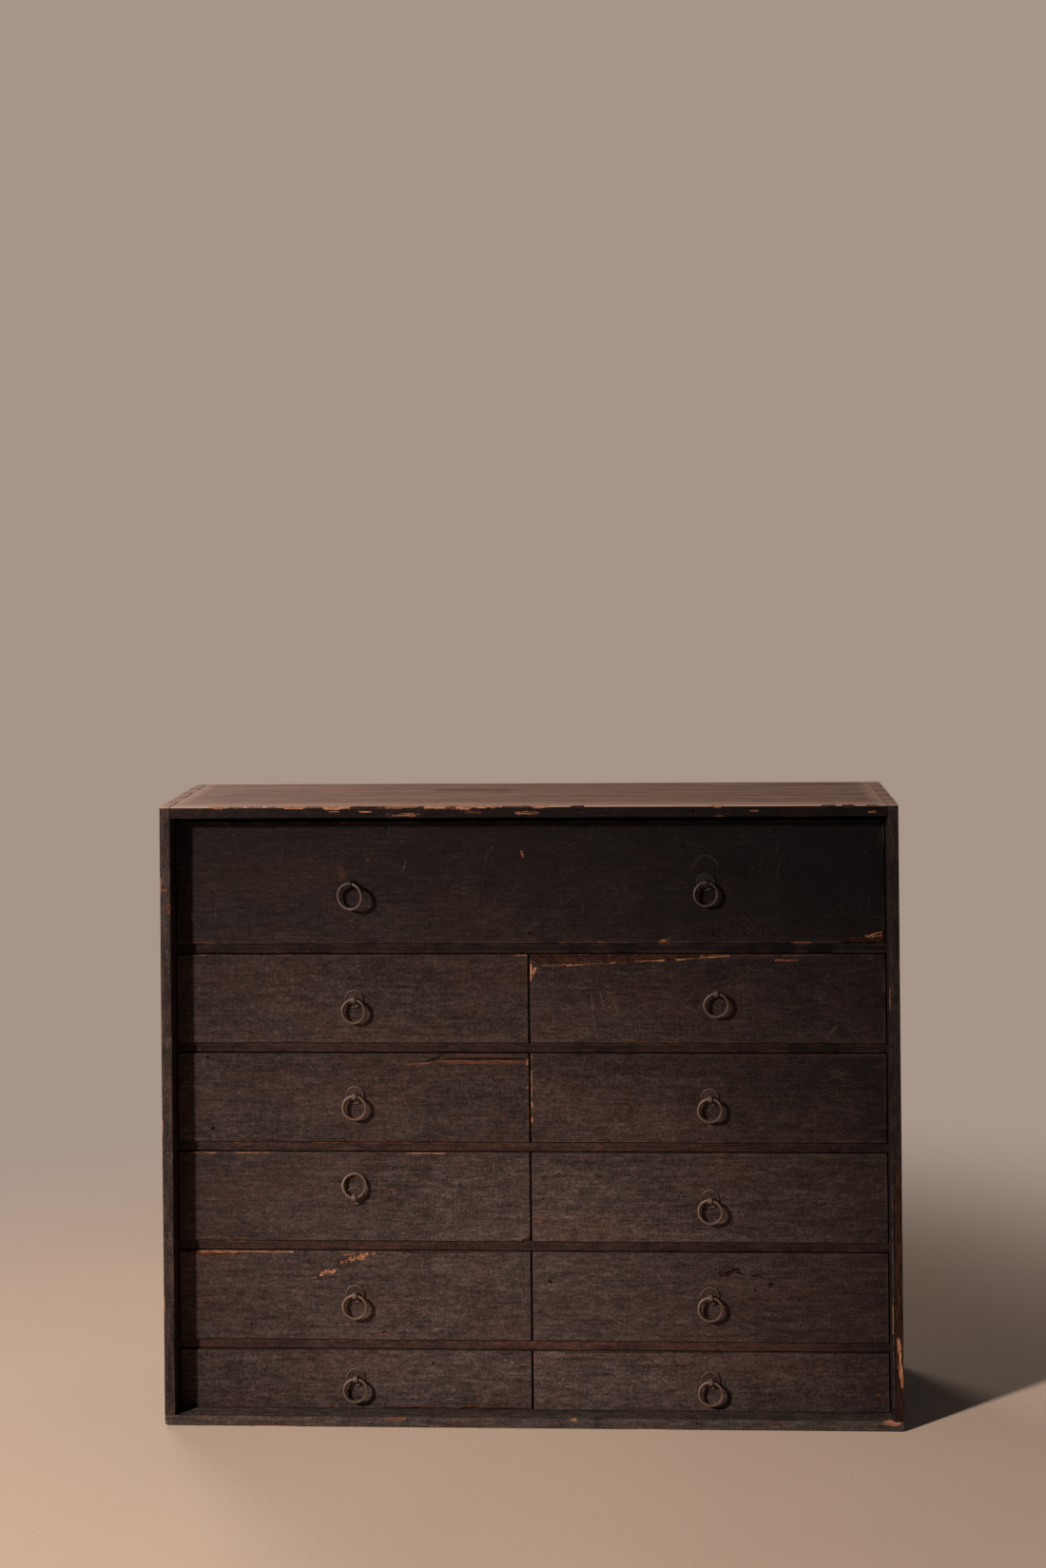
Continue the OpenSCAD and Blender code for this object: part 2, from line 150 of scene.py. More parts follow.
class Shader:
    """The nodes of a material or of the world, with short calls for the ones that these need."""

    def __init__(self, owner, output="OutputMaterial"):
        self.owner = owner
        owner.use_nodes = True
        self.tree = owner.node_tree
        self.tree.nodes.clear()
        self.output = self.add(output)

    def add(self, kind, inputs=None, **settings):
        node = self.tree.nodes.new("ShaderNode" + kind)
        for key, value in settings.items():
            setattr(node, key, value)
        for key, value in (inputs or {}).items():
            self.put(node.inputs[key], value)
        return node

    def put(self, socket, value):
        if isinstance(value, bpy.types.NodeSocket):
            self.tree.links.new(value, socket)
        else:
            socket.default_value = value

    def math(self, operation, a, b=0.0, clamp=False):
        return self.add("Math", {0: a, 1: b}, operation=operation, use_clamp=clamp).outputs[0]

    def times(self, a, b):
        return self.math("MULTIPLY", a, b)

    def total(self, first, *parts):
        """The first value with each other value times its share added to it."""
        for value, share in parts:
            first = self.math("ADD", first, self.times(value, share))
        return first

    def scaled(self, vector, factors):
        return self.add("VectorMath", {0: vector, 1: factors}, operation="MULTIPLY").outputs[0]

    def moved(self, vector, by):
        return self.add("VectorMath", {0: vector, 1: by}, operation="ADD").outputs[0]

    def millimetres(self):
        return self.scaled(self.add("TexCoord").outputs["Object"], (1000.0,) * 3)

    def noise(self, vector, size=None, detail=2.0, rough=0.5, scale=1.0):
        """Soft noise from 0 to 1, with features of that size, one number or one for each axis."""
        if size is not None:
            sizes = size if isinstance(size, tuple) else (size,) * 3
            vector = self.scaled(vector, tuple(1.0 / v for v in sizes))
        inputs = {"Vector": vector, "Scale": scale, "Detail": detail, "Roughness": rough, "Distortion": 0.0}
        return self.add("TexNoise", inputs).outputs["Fac"]

    def step(self, value, low, high, to_low=0.0, to_high=1.0):
        inputs = {"Value": value, "From Min": low, "From Max": high, "To Min": to_low, "To Max": to_high}
        return self.add("MapRange", inputs, interpolation_type="SMOOTHSTEP").outputs["Result"]

    def mix(self, factor, a, b, blend="MIX"):
        node = self.add("Mix", data_type="RGBA", blend_type=blend)
        for index, value in ((0, factor), (6, a), (7, b)):
            self.put(node.inputs[index], (*value, 1.0) if isinstance(value, tuple) else value)
        return node.outputs[2]

    def over(self, colour, mask, amount, other):
        return self.mix(self.times(mask, amount), colour, other)

    def layers(self, colour, *rows):
        """A colour under others, each laid on where its value goes from low to high, by its amount."""
        for value, low, high, amount, other in rows:
            colour = self.over(colour, self.step(value, low, high), amount, other)
        return colour

    def darkened(self, colour, red, green=None, blue=None):
        """A colour times one value, or times three."""
        parts = {0: red, 1: red if green is None else green, 2: red if blue is None else blue}
        return self.mix(1.0, colour, self.add("CombineColor", parts).outputs[0], blend="MULTIPLY")

    def told(self, name):
        """What the mesh tells its material under that name."""
        return self.add("Attribute", attribute_name=name, attribute_type="GEOMETRY").outputs

    def principled(self, colour, roughness, height, distance, specular, metallic=0.0):
        """A shader with a bump of that height."""
        normal = self.add("Bump", {"Height": height, "Distance": distance, "Strength": 1.0}).outputs[0]
        return self.add("BsdfPrincipled", {"Base Color": colour, "Roughness": roughness, "Normal": normal,
                                           "Specular IOR Level": specular, "Metallic": metallic}).outputs[0]

    def end(self, shader):
        self.put(self.output.inputs["Surface"], shader)
        return self.owner

    def surface(self, *values, **more):
        return self.end(self.principled(*values, **more))


def dim(colour, share):
    """A colour times a share."""
    return tuple(min(1.0, c * share) for c in colour)


def along(axis, length, width):
    """A size for noise that is long along one axis."""
    return tuple(length if a == axis else width for a in range(3))


def wood_shader(name):
    """A material with its place in millimetres, and that place moved apart for each board's own grain."""
    s = Shader(bpy.data.materials.new(name))
    raw = s.millimetres()
    board = s.told("board")["Fac"]
    apart = s.scaled(s.add("CombineXYZ", {0: board, 1: board, 2: board}).outputs[0], (937.0, 411.0, 613.0))
    return s, raw, s.moved(raw, apart), board


def bent_place(s, place, axis, length, width, by):
    """The place, moved a little across the grain by slow noise, so that the grain wanders."""
    drift = s.noise(place, along(axis, length, width), 1.0)
    across = s.add("CombineXYZ", {a: drift for a in range(3) if a != axis}).outputs[0]
    return s.moved(place, s.scaled(across, (by,) * 3))


def scratched(s, place, axis):
    """Long thin marks in three directions, only here and there."""
    scratches = 0.0
    for turn, seed in ((0.35, 0.0), (-0.62, 31.0), (1.35, 67.0)):
        angles = tuple(turn if a == (Y if axis != Y else X) else 0.0 for a in range(3))
        line = s.add("VectorRotate", {"Vector": s.moved(place, (seed,) * 3), "Rotation": angles},
                     rotation_type="EULER_XYZ").outputs[0]
        thin = s.noise(line, along(axis, 34.0, 0.8), 0.0)
        here = s.noise(s.moved(place, (seed, 0.0, seed)), 60.0, 1.0)
        mark = s.times(s.step(thin, 0.78, 0.86), s.step(here, 0.48, 0.64))
        scratches = s.math("MAXIMUM", scratches, mark)
    return scratches


def bare_wood(s, sliver, deep):
    """The wood under the stain, in slivers: torn, fresh where deep is negative, dirty where it is positive."""
    torn = s.mix(s.step(sliver, 0.38, 0.54), (0.055, 0.018, 0.010), (0.17, 0.066, 0.034))
    torn = s.mix(s.step(sliver, 0.56, 0.72), torn, (0.34, 0.15, 0.080))
    fresh = s.mix(s.step(sliver, 0.36, 0.64), (0.20, 0.070, 0.034), (0.54, 0.258, 0.138))
    dirty = s.mix(s.step(sliver, 0.4, 0.65), (0.010, 0.0042, 0.0032), (0.056, 0.020, 0.010))
    return s.mix(s.step(deep, 0.0, 0.85), s.mix(s.step(deep, -0.1, -1.0), torn, fresh), dirty)


def stained_wood(name, axis, dark, middle, pale, red, top=None):
    """Dark stained wood: mottled, finely grained along an axis, scratched, and bare where it is chipped."""
    s, raw, place, _ = wood_shader(name)

    def grain(length, width, detail=1.0, rough=0.5):
        return s.noise(place, along(axis, length, width), detail, rough)

    figure = s.noise(bent_place(s, place, axis, 260.0, 60.0, 22.0), along(axis, 170.0, 3.0), 5.0, 0.72)
    streak, fibre, lines = grain(34.0, 1.2, 2.0, 0.6), grain(7.0, 0.5), grain(9.0, 0.7)
    cloud, hue = grain(110.0, 52.0, 5.0, 0.66), grain(120.0, 45.0, 3.0)
    patch, mottle = grain(24.0, 7.0, 6.0, 0.78), grain(12.0, 4.0, 6.0, 0.8)
    dust = s.noise(place, 2.3, 3.0, 0.75)
    brushed = s.noise(place, along(Z if axis == X else Y, 22.0, 0.9), 1.0)

    # The stain
    colour = s.mix(s.step(cloud, 0.30, 0.70), dark, middle)
    colour = s.layers(colour, (hue, 0.44, 0.64, 0.6, red), (patch, 0.44, 0.70, 0.5, pale),
                      (figure, 0.48, 0.34, 0.5, dim(dark, 0.45)), (figure, 0.54, 0.68, 0.25, pale),
                      (streak, 0.54, 0.70, 0.35, pale), (streak, 0.42, 0.28, 0.5, dim(dark, 0.4)))
    colour = s.over(colour, s.times(s.step(brushed, 0.58, 0.74), s.step(hue, 0.56, 0.44)), 0.45, pale)
    lively = s.times(s.step(mottle, 0.30, 0.70, 0.62, 1.48), s.step(dust, 0.30, 0.70, 0.52, 1.55))
    colour = s.darkened(colour, lively)

    # Scratches, pale specks and grit
    scratches = scratched(s, place, axis)
    cells = s.add("TexVoronoi", {"Vector": s.scaled(place, (1 / 8.0,) * 3), "Scale": 1.0}).outputs
    chosen = s.math("GREATER_THAN", s.add("SeparateColor", {0: cells["Color"]}).outputs[0], 0.84)
    specks = s.times(s.step(cells["Distance"], 0.09, 0.04), chosen)
    grit = s.math("MAXIMUM", s.step(s.noise(place, 1.2, 1.0), 0.62, 0.74), s.times(s.step(lines, 0.58, 0.74), 0.7))
    grit = s.times(grit, s.step(s.noise(place, 48.0, 3.0), 0.42, 0.62))

    # The tone that the mesh tells, with painted shade and light in it, darkens the stain, and the darker it is the
    # browner; scuffs keep more light
    marks = s.told("marks")
    shade = marks["Alpha"]
    green, blue, half = (s.math("POWER", shade, power) for power in (1.10, 1.12, 0.42))
    colour = s.darkened(colour, shade, green, blue)
    scuffed = s.darkened(dim(pale, 1.9), half)
    colour = s.over(s.over(colour, scratches, 0.42, scuffed), grit, 0.5, scuffed)
    colour = s.over(colour, specks, 0.5, (0.12, 0.070, 0.046))
    if top is not None:
        colour = weathered_and_sheened_top(s, raw, place, colour, streak, figure, top)

    # What the mesh tells: worn edges, rubs, stains, warm patches and bare wood
    bare, rubbed, stain, *_ = s.add("SeparateColor", {0: marks["Color"]}).outputs
    edge, deep, warm = (s.told(n)["Fac"] for n in ("edge", "deep", "warm"))
    if top is None:
        rub = s.times(edge, s.step(s.noise(place, 26.0, 3.0), 0.38, 0.62))
        colour = s.over(colour, rub, 0.4, dim(pale, 1.3))
    nick = s.total(s.times(edge, 0.6), (grain(7.0, 1.1, 3.0, 0.65), 0.62))
    colour = s.layers(colour, (nick, 0.95, 1.0, 0.7, (0.13, 0.055, 0.025)))
    colour = s.over(colour, s.times(rubbed, s.step(dust, 0.36, 0.62)), 0.6, dim(pale, 1.5))
    colour = s.over(colour, stain, 0.9, dim(dark, 0.25))
    colour = s.over(colour, warm, s.step(patch, 0.3, 0.6, 0.2, 0.8), (0.085, 0.034, 0.019))
    sliver = grain(15.0, 0.9, 3.0, 0.7)
    bare_here = s.step(s.total(bare, (s.math("SUBTRACT", sliver, 0.5), 1.7)), 0.44, 0.60)
    colour = s.mix(bare_here, colour, bare_wood(s, sliver, deep))

    height = s.total(s.times(fibre, 0.3), (streak, 0.45), (figure, 0.5), (dust, 0.35), (scratches, -0.35),
                     (specks, -0.5), (s.times(sliver, 2.2), bare_here))
    roughness = s.math("ADD", s.total(0.52, (cloud, 0.25)), s.times(bare_here, 0.25), clamp=True)
    return s.surface(colour, roughness, height, 0.00028, specular=0.11)


def weathered_and_sheened_top(s, raw, place, colour, streak, figure, top):
    """The upper side of the case: paler than the rest, partly bleached and partly a painted sheen, and paler still
    along its front and its two ends.
    """
    x, y, z = s.add("SeparateXYZ", {0: raw}).outputs
    upper = s.step(z, top["z"] - 1.6, top["z"] - 0.7)
    ripple = s.noise(place, (30.0, 9.0, 30.0), 3.0)
    figure = s.total(s.times(figure, 0.4), (s.noise(place, along(X, 420.0, 3.6), 3.0, 0.6), 0.6))
    grain = s.mix(s.step(figure, 0.36, 0.60), top["dark"], top["light"])
    grain = s.layers(grain, (streak, 0.46, 0.3, 0.35, dim(top["dark"], 0.55)),
                     (ripple, 0.5, 0.7, 0.3, dim(top["dark"], 0.8)))
    spread = s.times(s.math("SUBTRACT", ripple, 0.5), 26.0)
    from_front = s.math("ADD", s.math("SUBTRACT", y, top["front"]), spread)
    from_end = s.total(s.math("SUBTRACT", top["end"], s.math("ABSOLUTE", x)), (spread, 0.6))
    strip = s.math("MAXIMUM", s.step(from_front, 46.0, 8.0), s.step(from_end, 30.0, 14.0))
    grain = s.over(grain, strip, 0.8, top["strip"])
    # Painted light: lighter toward the left end and darker toward the right.
    grain = s.darkened(grain, s.step(x, -400.0, 400.0, 1.10, 0.88))
    end_grain = s.times(s.step(figure, 0.58, 0.44), s.step(from_end, 12.0, 10.0))
    return s.mix(upper, colour, s.over(grain, end_grain, 0.3, top["dark"]))


def plain_wood(name, axis, dark, light):
    """Unfinished softwood gone brown with age, for what is inside the case and behind it."""
    s, _, place, board = wood_shader(name)
    figure = s.noise(bent_place(s, place, axis, 300.0, 70.0, 34.0), along(axis, 500.0, 4.6), 3.0, 0.6)
    streak = s.noise(place, along(axis, 80.0, 1.2), 2.0, 0.6)
    cloud = s.noise(place, along(axis, 120.0, 50.0), 4.0, 0.6)
    stain = s.noise(place, 70.0, 5.0, 0.65)
    colour = s.mix(s.step(figure, 0.35, 0.62), dark, light)
    colour = s.layers(colour, (streak, 0.45, 0.28, 0.5, dim(dark, 0.6)), (cloud, 0.5, 0.75, 0.4, dim(light, 0.62)),
                      (stain, 0.56, 0.7, 0.45, dim(dark, 0.42)))
    colour = s.darkened(colour, s.math("ADD", s.times(board, 0.45), 0.78))
    colour = s.over(colour, s.told("edge")["Fac"], 0.4, dim(light, 1.25))
    height = s.total(s.times(streak, 0.5), (figure, 0.7))
    return s.surface(colour, s.total(0.62, (cloud, 0.2)), height, 0.0003, specular=0.25)


def rusty_iron(name, dark, middle, rust, shine, rub_and_highlight_share):
    """Hand-forged iron with a brown skin of rust, rubbed brighter where it stands out, brighter on the plates' rims as
    a painted highlight, and darkened by a tone that carries painted shade.
    """
    s = Shader(bpy.data.materials.new(name))
    place = s.millimetres()
    cloud, grain, spots = s.noise(place, 5.5, 4.0, 0.65), s.noise(place, 0.9, 3.0, 0.65), s.noise(place, 2.4, 2.0)
    rusted = s.math("MAXIMUM", s.times(s.step(spots, 0.5, 0.68), 0.65),
                    s.times(s.told("rust")["Fac"], s.step(cloud, 0.62, 0.40)))
    colour = s.mix(rusted, s.mix(s.step(cloud, 0.34, 0.66), dark, middle), rust)
    colour = s.layers(colour, (grain, 0.55, 0.72, 0.3, shine), (grain, 0.42, 0.28, 0.6, dim(dark, 0.4)))
    # The edge shows rubbed wear on the rings, and a painted highlight on the plates' rims.
    colour = s.over(colour, s.told("edge")["Fac"], rub_and_highlight_share, shine)
    # The tone carries part of the painted shade and light of the fronts.
    colour = s.darkened(colour, s.told("tone")["Fac"])
    height = s.total(s.times(grain, 0.7), (spots, 0.5))
    return s.surface(colour, s.total(0.40, (cloud, 0.25)), height, 0.00022, specular=0.4, metallic=0.2)


def bamboo(name):
    """The cut ends of the pegs."""
    s = Shader(bpy.data.materials.new(name))
    place = s.millimetres()
    pores, cloud = s.noise(place, 0.35, 2.0), s.noise(place, 8.0, 3.0)
    colour = s.mix(s.step(cloud, 0.3, 0.7), (0.11, 0.066, 0.034), (0.20, 0.128, 0.066))
    colour = s.layers(colour, (pores, 0.46, 0.3, 0.7, (0.03, 0.017, 0.01)))
    return s.surface(colour, s.total(0.45, (cloud, 0.2)), pores, 0.0001, specular=0.3)


# ---------------------------------------------------------------- wear, in millimetres

def rows_of(text):
    """Rows of a word and numbers, with commas between the rows. A row without a word takes the last one."""
    word = None
    for row in text.split(","):
        values = row.split()
        if values[0].isalpha():
            word = values.pop(0)
        yield (word, *map(float, values))


# Chips on the edges that are seen from the front: edge, from, to, depth into the wood, drop down the face, age
# Age is -1 where a break is fresh, and 1 where it is old and dark
CHIPS = {
    "case_top": """top -319 -302 1.2 1.6 -1, -300 -285 .6 .6 0, -282 -266 .5 .6 .2, -262 -249 .5 .5 -.3,
        -247 -223 1.4 2 -1, -222 -206 .9 1.1 .1, -206 -188 1.3 3.2 -1, -190 -176 1.2 2.2 -1, -177 -148 1.1 2.4 .9,
        -149 -138 .7 1.6 .6, -140 -108 .8 1.2 -.5, -108 -99 .6 1.8 .7, -101 -79 1.2 2.4 -1, -80 -69 .7 2 .3,
        -70 -54 1.2 3 -1, -53 -26 1 2 -.7, -24 -12 .5 1 .3, -12 6 .4 1 .5, 6 22 1 1.8 -.9, 44 58 .3 1.6 .9,
        186 197 .8 2.2 -1, 295 309 .2 .9 .5, 315 327 .4 1.5 .7, 339 352 .2 .9 .3, low 188 199 .6 .8 .5""",
    "case_bottom": """top -146 -126 1.1 1.8 -.3, 40 45 1.2 1.4 -1, -208 -202 .8 .9, 351 367 5 2.8 -1,
        rightfoot -121 -75 3.4 3.4 1, leftfoot -111 -85 1.6 1.6 1, top -337 -323 .7 .7, low 105 135 1 1,
        -281 -239 .9 .9""",
    "side_left": """left 545 551 1.2 1.4, 538 542 1.8 1.8, right 516.5 526.5 1.8 2.4, 346 354 .8 .8,
        left 292 308 .9 .8, 109 131 .9 .7""",
    "side_right": """right 45 87 .8 .6 -.6, 189 239 1.6 1.2 .9, 101 179 1.3 .9 .9, left 95 129 .7 .5 -.8,
        419 441 .8 .7, right 457 483 .9 .7""",
    "drawer_1": """low -340 -316 .8 .9, 31 39 1 1.2, 71 78 1.4 1.6, 131 141 .9 2.2 .2, 262 286 .8 .9 -.4,
        316 358 4.5 7 .9, right 481 494 3.5 4 .6, top -200 -160 .8 .8""",
    "drawer_2_left": """top -337 -328 .7 .6, -310 -256 .3 .3 .6, -250 -241 .8 .7, -14 -2 1 1 -.3,
        right 452 458 1.4 1.2, 384 390 1 1, low -272 -266 .6 .7""",
    "drawer_2_right": """top 1 30 3.4 10.5 .95, 22 56 3 10.2 .95, 50 82 3 8.6 .9, 76 108 2.8 7.2 .9,
        100 148 3 6.2 .85, 140 176 2.8 4.2 .85, 174 202 1.4 1.8 .5, 206 250 .6 1 .7, 254 274 .8 1.4 .5,
        left 444 461 1.6 1.7 -.8, low 89 126 .9 1.2 .3, 140 152 .7 .9""",
    "drawer_3_left": """top -91 -87 2 4 1, low -106 -82 .8 1.4 .4, right 333 348 .8 .9 -.8, 290 318 .7 .9 -.5,
        359 364 1.6 2 -1, top -150 -136 .7 .8 .5""",
    "drawer_3_right": """top 25 110 .4 .5 .75, 150 312 .4 .45 .8, left 315 322 1.2 1.3 -1, 301 307 1.2 1.2 -1,
        324 356 .5 .5 -.9, 364 370 .6 .6 -.5""",
    "drawer_4_left": """top -349 -318 .5 .5 -.8, -304 -259 .5 .5 -.8, -130 -82 .6 .8 -.8, low -9 -1 2 2.6 .5,
        right 180 188 1.2 1.4""",
    "drawer_4_right": """top 180 196 .6 .7, left 238 246 .8 .8""",
    "drawer_5_left": """top -356 -296 1 1.6 .4, -336 -290 .8 .8 -.5, -292 -241 .8 1 -.8, -196 -165 .6 .7 -.4,
        -140 -60 .5 .6 .7""",
    "drawer_5_right": """top 250 300 .4 .5 .7""",
    "drawer_6_left": """low -150 -76 1.6 2.2, -60 -1 1.8 2.6, -206 -200 1.2 1.3, -72 -54 2.4 3.2,
        top -356 -200 .4 .5 .75""",
    "drawer_6_right": """top 10 220 .4 .5 .75, left 56 62 1.2 1.3""",
}

# Marks on the faces: kind, centre, half sizes, depth, angle, how ragged, strength, age, size of the rags
GOUGES = {
    "case_top": """bare -162.5 618.4 7.5 1.3 .7 0 .9 1 -.7 4, -124.5 615.4 15.5 1.9 .8 0 .9 1 -.25 4,
        -116 614.2 6 1.2 .5 0 .9 1 .2 4, -.5 616.8 15.5 2 .8 0 .9 1 -.3 4, 50 617.5 8 1 .5 0 .9 1 .9 4,
        227.5 618 6.5 1 .5 0 .9 1 .3 4, 192.5 613.4 4.5 .9 .4 0 .9 1 .4 4, 345.5 616.6 6.5 1.5 .5 0 .9 1 .2 4,
        -53 617.5 9 1 .3 0 .9 1 .6 4, -194 618.6 6 .8 .3 0 .9 1 -.5 4, stain 168 618 1.6 1.4 1.6 0 .2""",
    "case_bottom": """bare -363.4 9.6 6 1 .5 0 .8""",
    "side_left": """rubbed -366.8 548.3 4.6 .9 .3 -.5 .3, bare -365.6 540.2 5.2 1.7 .9 -.3 .6,
        -362.6 521.4 2.2 5.6 .9 0 .6""",
    "side_right": """bare 367.8 130 5.4 160 .5 0 .22 1 .76 9, 367.6 66 1.6 26 1 .07 1.6 .6 -.9 5,
        rubbed 360.6 132 .9 110 .2 0 .7 1 0 9""",
    "drawer_1": """bare -5.8 572.4 1.6 5.2 .5 .3 .5, -36.5 579 1 1.6 .4 0 .3, warm -189.5 552 5.5 8.5 .1 .3 1.8 .4,
        -163 566.5 2.4 1 .1 0 .6, stain 1.8 492 1.3 1.1 1.4 0 .2, 157 485.9 1.1 1 1.4 0 .2,
        187 491.4 1.3 1.2 1.6 0 .2, 218.4 491.4 1.6 1.2 1.6 0 .2, 236.5 493.3 1.2 1 1.6 0 .2,
        bare 136 485 4.6 1.4 .5 .3 .8 1 -.4, rubbed -125.6 560 .8 7.5 .15 -.3 .3,
        bare 337 486.6 17 .6 .5 .42 .8 1 -.75, 348 488.6 9 .7 .6 .16 1.1 1 -.6, 352 485.4 5 .6 .5 -.3 1 1 -.4,
        346 491 8 1 .4 .22 1.4 1 .1, 331 484.4 11 .5 .4 .2 .9 .9 -.3, 343 486.6 9 .5 .4 .62 .9 .9 -.5,
        stain 352.5 490 .6 5 .5 0 .6, bare 339 482.6 11 .5 .4 0 .6 1 -.6, stain 68 571 .9 .9 .8 0 .2,
        -206 590 6 1.6 .1 0 .7""",
    "drawer_2_left": """rubbed -257.6 448 .7 8 .15 .05 .3, -241 443 .8 15 .15 .04 .3, -85 421.4 28 .8 .15 .17 .4,
        -246 436 .6 11 .1 0 .3""",
    "drawer_2_right": """bare 5 453.5 1.7 7 .8 -.35 1.2 1 -.8, 13.5 464.5 1 5 .6 -.9 .9 1 -.7,
        25 459.8 13 .5 .4 .02 1.5 .9 -.3, 50 460 10 .6 .5 .08 1.4 1 -.6, 78 462.2 18 .5 .4 .08 1.5 .9 -.3,
        112 464 12 .5 .4 .05 1.4 .9 -.5, 137 464.9 14 .8 .6 .08 1.3 1 -.8, 162 467 10 .7 .5 .16 1.4 1 -.8,
        189 468.8 12 .5 .5 .05 1.3 1 -.6, 96 467 30 .5 .3 .03 1.7 .8 0, 50 460.7 46 .5 .4 .028 .9 1 -.35,
        148 465.6 62 .5 .4 .058 .9 1 -.5, rubbed 64.6 411 .9 25 .15 .1 .5, 84.5 421 5.4 16 .05 .3 1.5 .5,
        74 424 .9 12 .1 .25 .5, 303.7 392.8 .9 10.6 .15 -.79 .3, stain 188.4 452 15 11 .1 .1 1 .55,
        168 421 5 8 .1 0 1 .5, bare 260 464.8 14 1.4 .4 0 1""",
    # On drawer_3_left the stain line along the top of the split, at -44, is a painted shadow in the crack.
    "drawer_3_left": """bare -50 361.8 56 2.5 .9 0 .16 1 .4 9, stain -44 365.3 47 .9 1.6 0 .2,
        warm -43 368.2 44 2.4 .5 0 .4 .6, stain -98 364.3 10 1.2 1.6 .29 .2, bare -114 360.2 20 .9 .4 .05 .5 1 .1,
        stain -323.3 293.8 1.8 1.7 2.6 0 .15, -327.5 366.1 2.4 1.3 1.2 -.5 .3, -307.1 356.8 1.9 1 .9 -.3 .3,
        warm -31.3 308 10 4.6 .15 -.2 1.2 .5, bare -127 326 .6 40 .2 0 .7 .62, rubbed -243 345 7 2.4 .05 0 1.4 .3,
        -318 349 7.5 7 .05 0 1.4 .3""",
    "drawer_3_right": """rubbed 120 292 44 1 .2 0 1.2 .35, 86 345 60 5 .05 .05 1.8 .3""",
    "drawer_4_left": """rubbed -290.5 224 .8 36 .2 .45 .3, -253 220 .7 23 .15 .07 .3,
        bare -143.6 233.3 7.6 .9 .3 -.12 .5, -128.4 258 .6 11 .2 0 .7 .62, rubbed -262 214 .6 14 .1 -.1 .3,
        -230 205 16 .8 .1 .2 .6, -60 186 30 3.6 .05 .1 1.6 .3""",
    "drawer_4_right": """rubbed 118 240 1 .9 .3 0 .2, 126 241 1 .8 .3 0 .2, stain 300 202 34 5 .1 .1 1.5 .4,
        58 219 1.2 1.2 1.2 0 .2""",
    "drawer_5_left": """bare -318 166 24 2.6 .6 0 1.5 .9 .5, -268 168.6 26 .6 .5 0 .9 1 -.9,
        -175 163.2 20 2.6 .8 .27 1.9 .78 -.9, -178 162.6 15 .6 .5 .27 1.2 1 -.9, -186 166.6 11 1 .5 .08 1.4 .7 -.7,
        -203.5 149.2 12 2.4 .9 .24 1.7 .78 -.9, -203 149.4 9 .6 .6 .3 1 1 -.8, -221 142.8 3 .8 .4 .3 1 .9 -.6,
        stain -284.8 94 1.5 1.4 1.6 0 .2, bare -153 85.6 8.6 1.1 .5 .1 1, stain -150 87 2.2 1.8 1 0 .3,
        bare -129.5 153 .5 16 .2 0 .7 .5, -218 161.6 2 1.6 .5 .2 1.4 .9 .2""",
    "drawer_5_right": """bare 197.5 149.4 12 3.2 .9 .15 2 .9 .9, 227 147 7 2.6 .8 -.15 2 .9 .8,
        stain 200 151 6 1 1.2 .4 1.2, 212 149 5 1 .9 -.2 1.4, rubbed 45 85.8 1.9 1.9 .3 0 .2,
        stain 18.6 140 3.6 2.4 .5 -.4 .7, rubbed 113.6 144 1.4 4.2 .5 .5 .6, stain 207 152.4 3.6 1.4 1.6 0 .9,
        242 138 3 2.2 .7 0 1.6, 226 132 1.4 2.6 .6 .3 .8, 269 123 2 1.6 .4 0 .5""",
    "drawer_6_left": """bare -63 13.8 8 1.2 .8 0 .8, -202.5 12 2 1 .5 0 .6, stain -100 56 1.4 1.3 1.2 0 .2""",
    "drawer_6_right": """bare 351 24 4 4.4 .6 0 1.8 .6 .6, 348.6 28.6 4.8 .7 .3 0 .7 .8 .5, stain 6 52 1.3 1 1 0 .2""",
}


# ---------------------------------------------------------------- boards

GRADE = (0.35, 0.8, 1.4, 2.1, 3.0, 4.1, 5.5)  # how far from an edge the lines beside it lie
NEAR = 9.0  # how far from an edge its wear can reach
GOLDEN = 0.6180339  # spreads the boards' seeds evenly
SHARPEST = 0.22  # the least radius of a worn edge
ON_FACE = 0.6  # how deep the points lie that count as being on a face


def grid_lines(lo, hi, cuts, fine, axis, step, graded):
    """Where the lines of a board's mesh lie along one axis."""
    values = {lo[axis], hi[axis]}
    for low, high in cuts:
        values |= {v for v in (low[axis], high[axis]) if lo[axis] < v < hi[axis]}
    if graded:
        half = (hi[axis] - lo[axis]) / 2
        for g in GRADE:
            if g < half - 0.3:
                values |= {lo[axis] + g, hi[axis] - g}
    for low, high, pitch in fine:
        count = max(1, round((high - low) / pitch))
        values |= {float(v) for v in np.linspace(low, high, count + 1) if lo[axis] < v < hi[axis]}
    values = sorted(values)
    out = [values[0]]
    for v in values[1:]:
        if v - out[-1] < 0.02 and v != values[-1]:
            continue
        count = max(1, math.ceil((v - out[-1]) / step - 1e-6))
        out += list(np.linspace(out[-1], v, count + 1)[1:])
    return np.array(out)


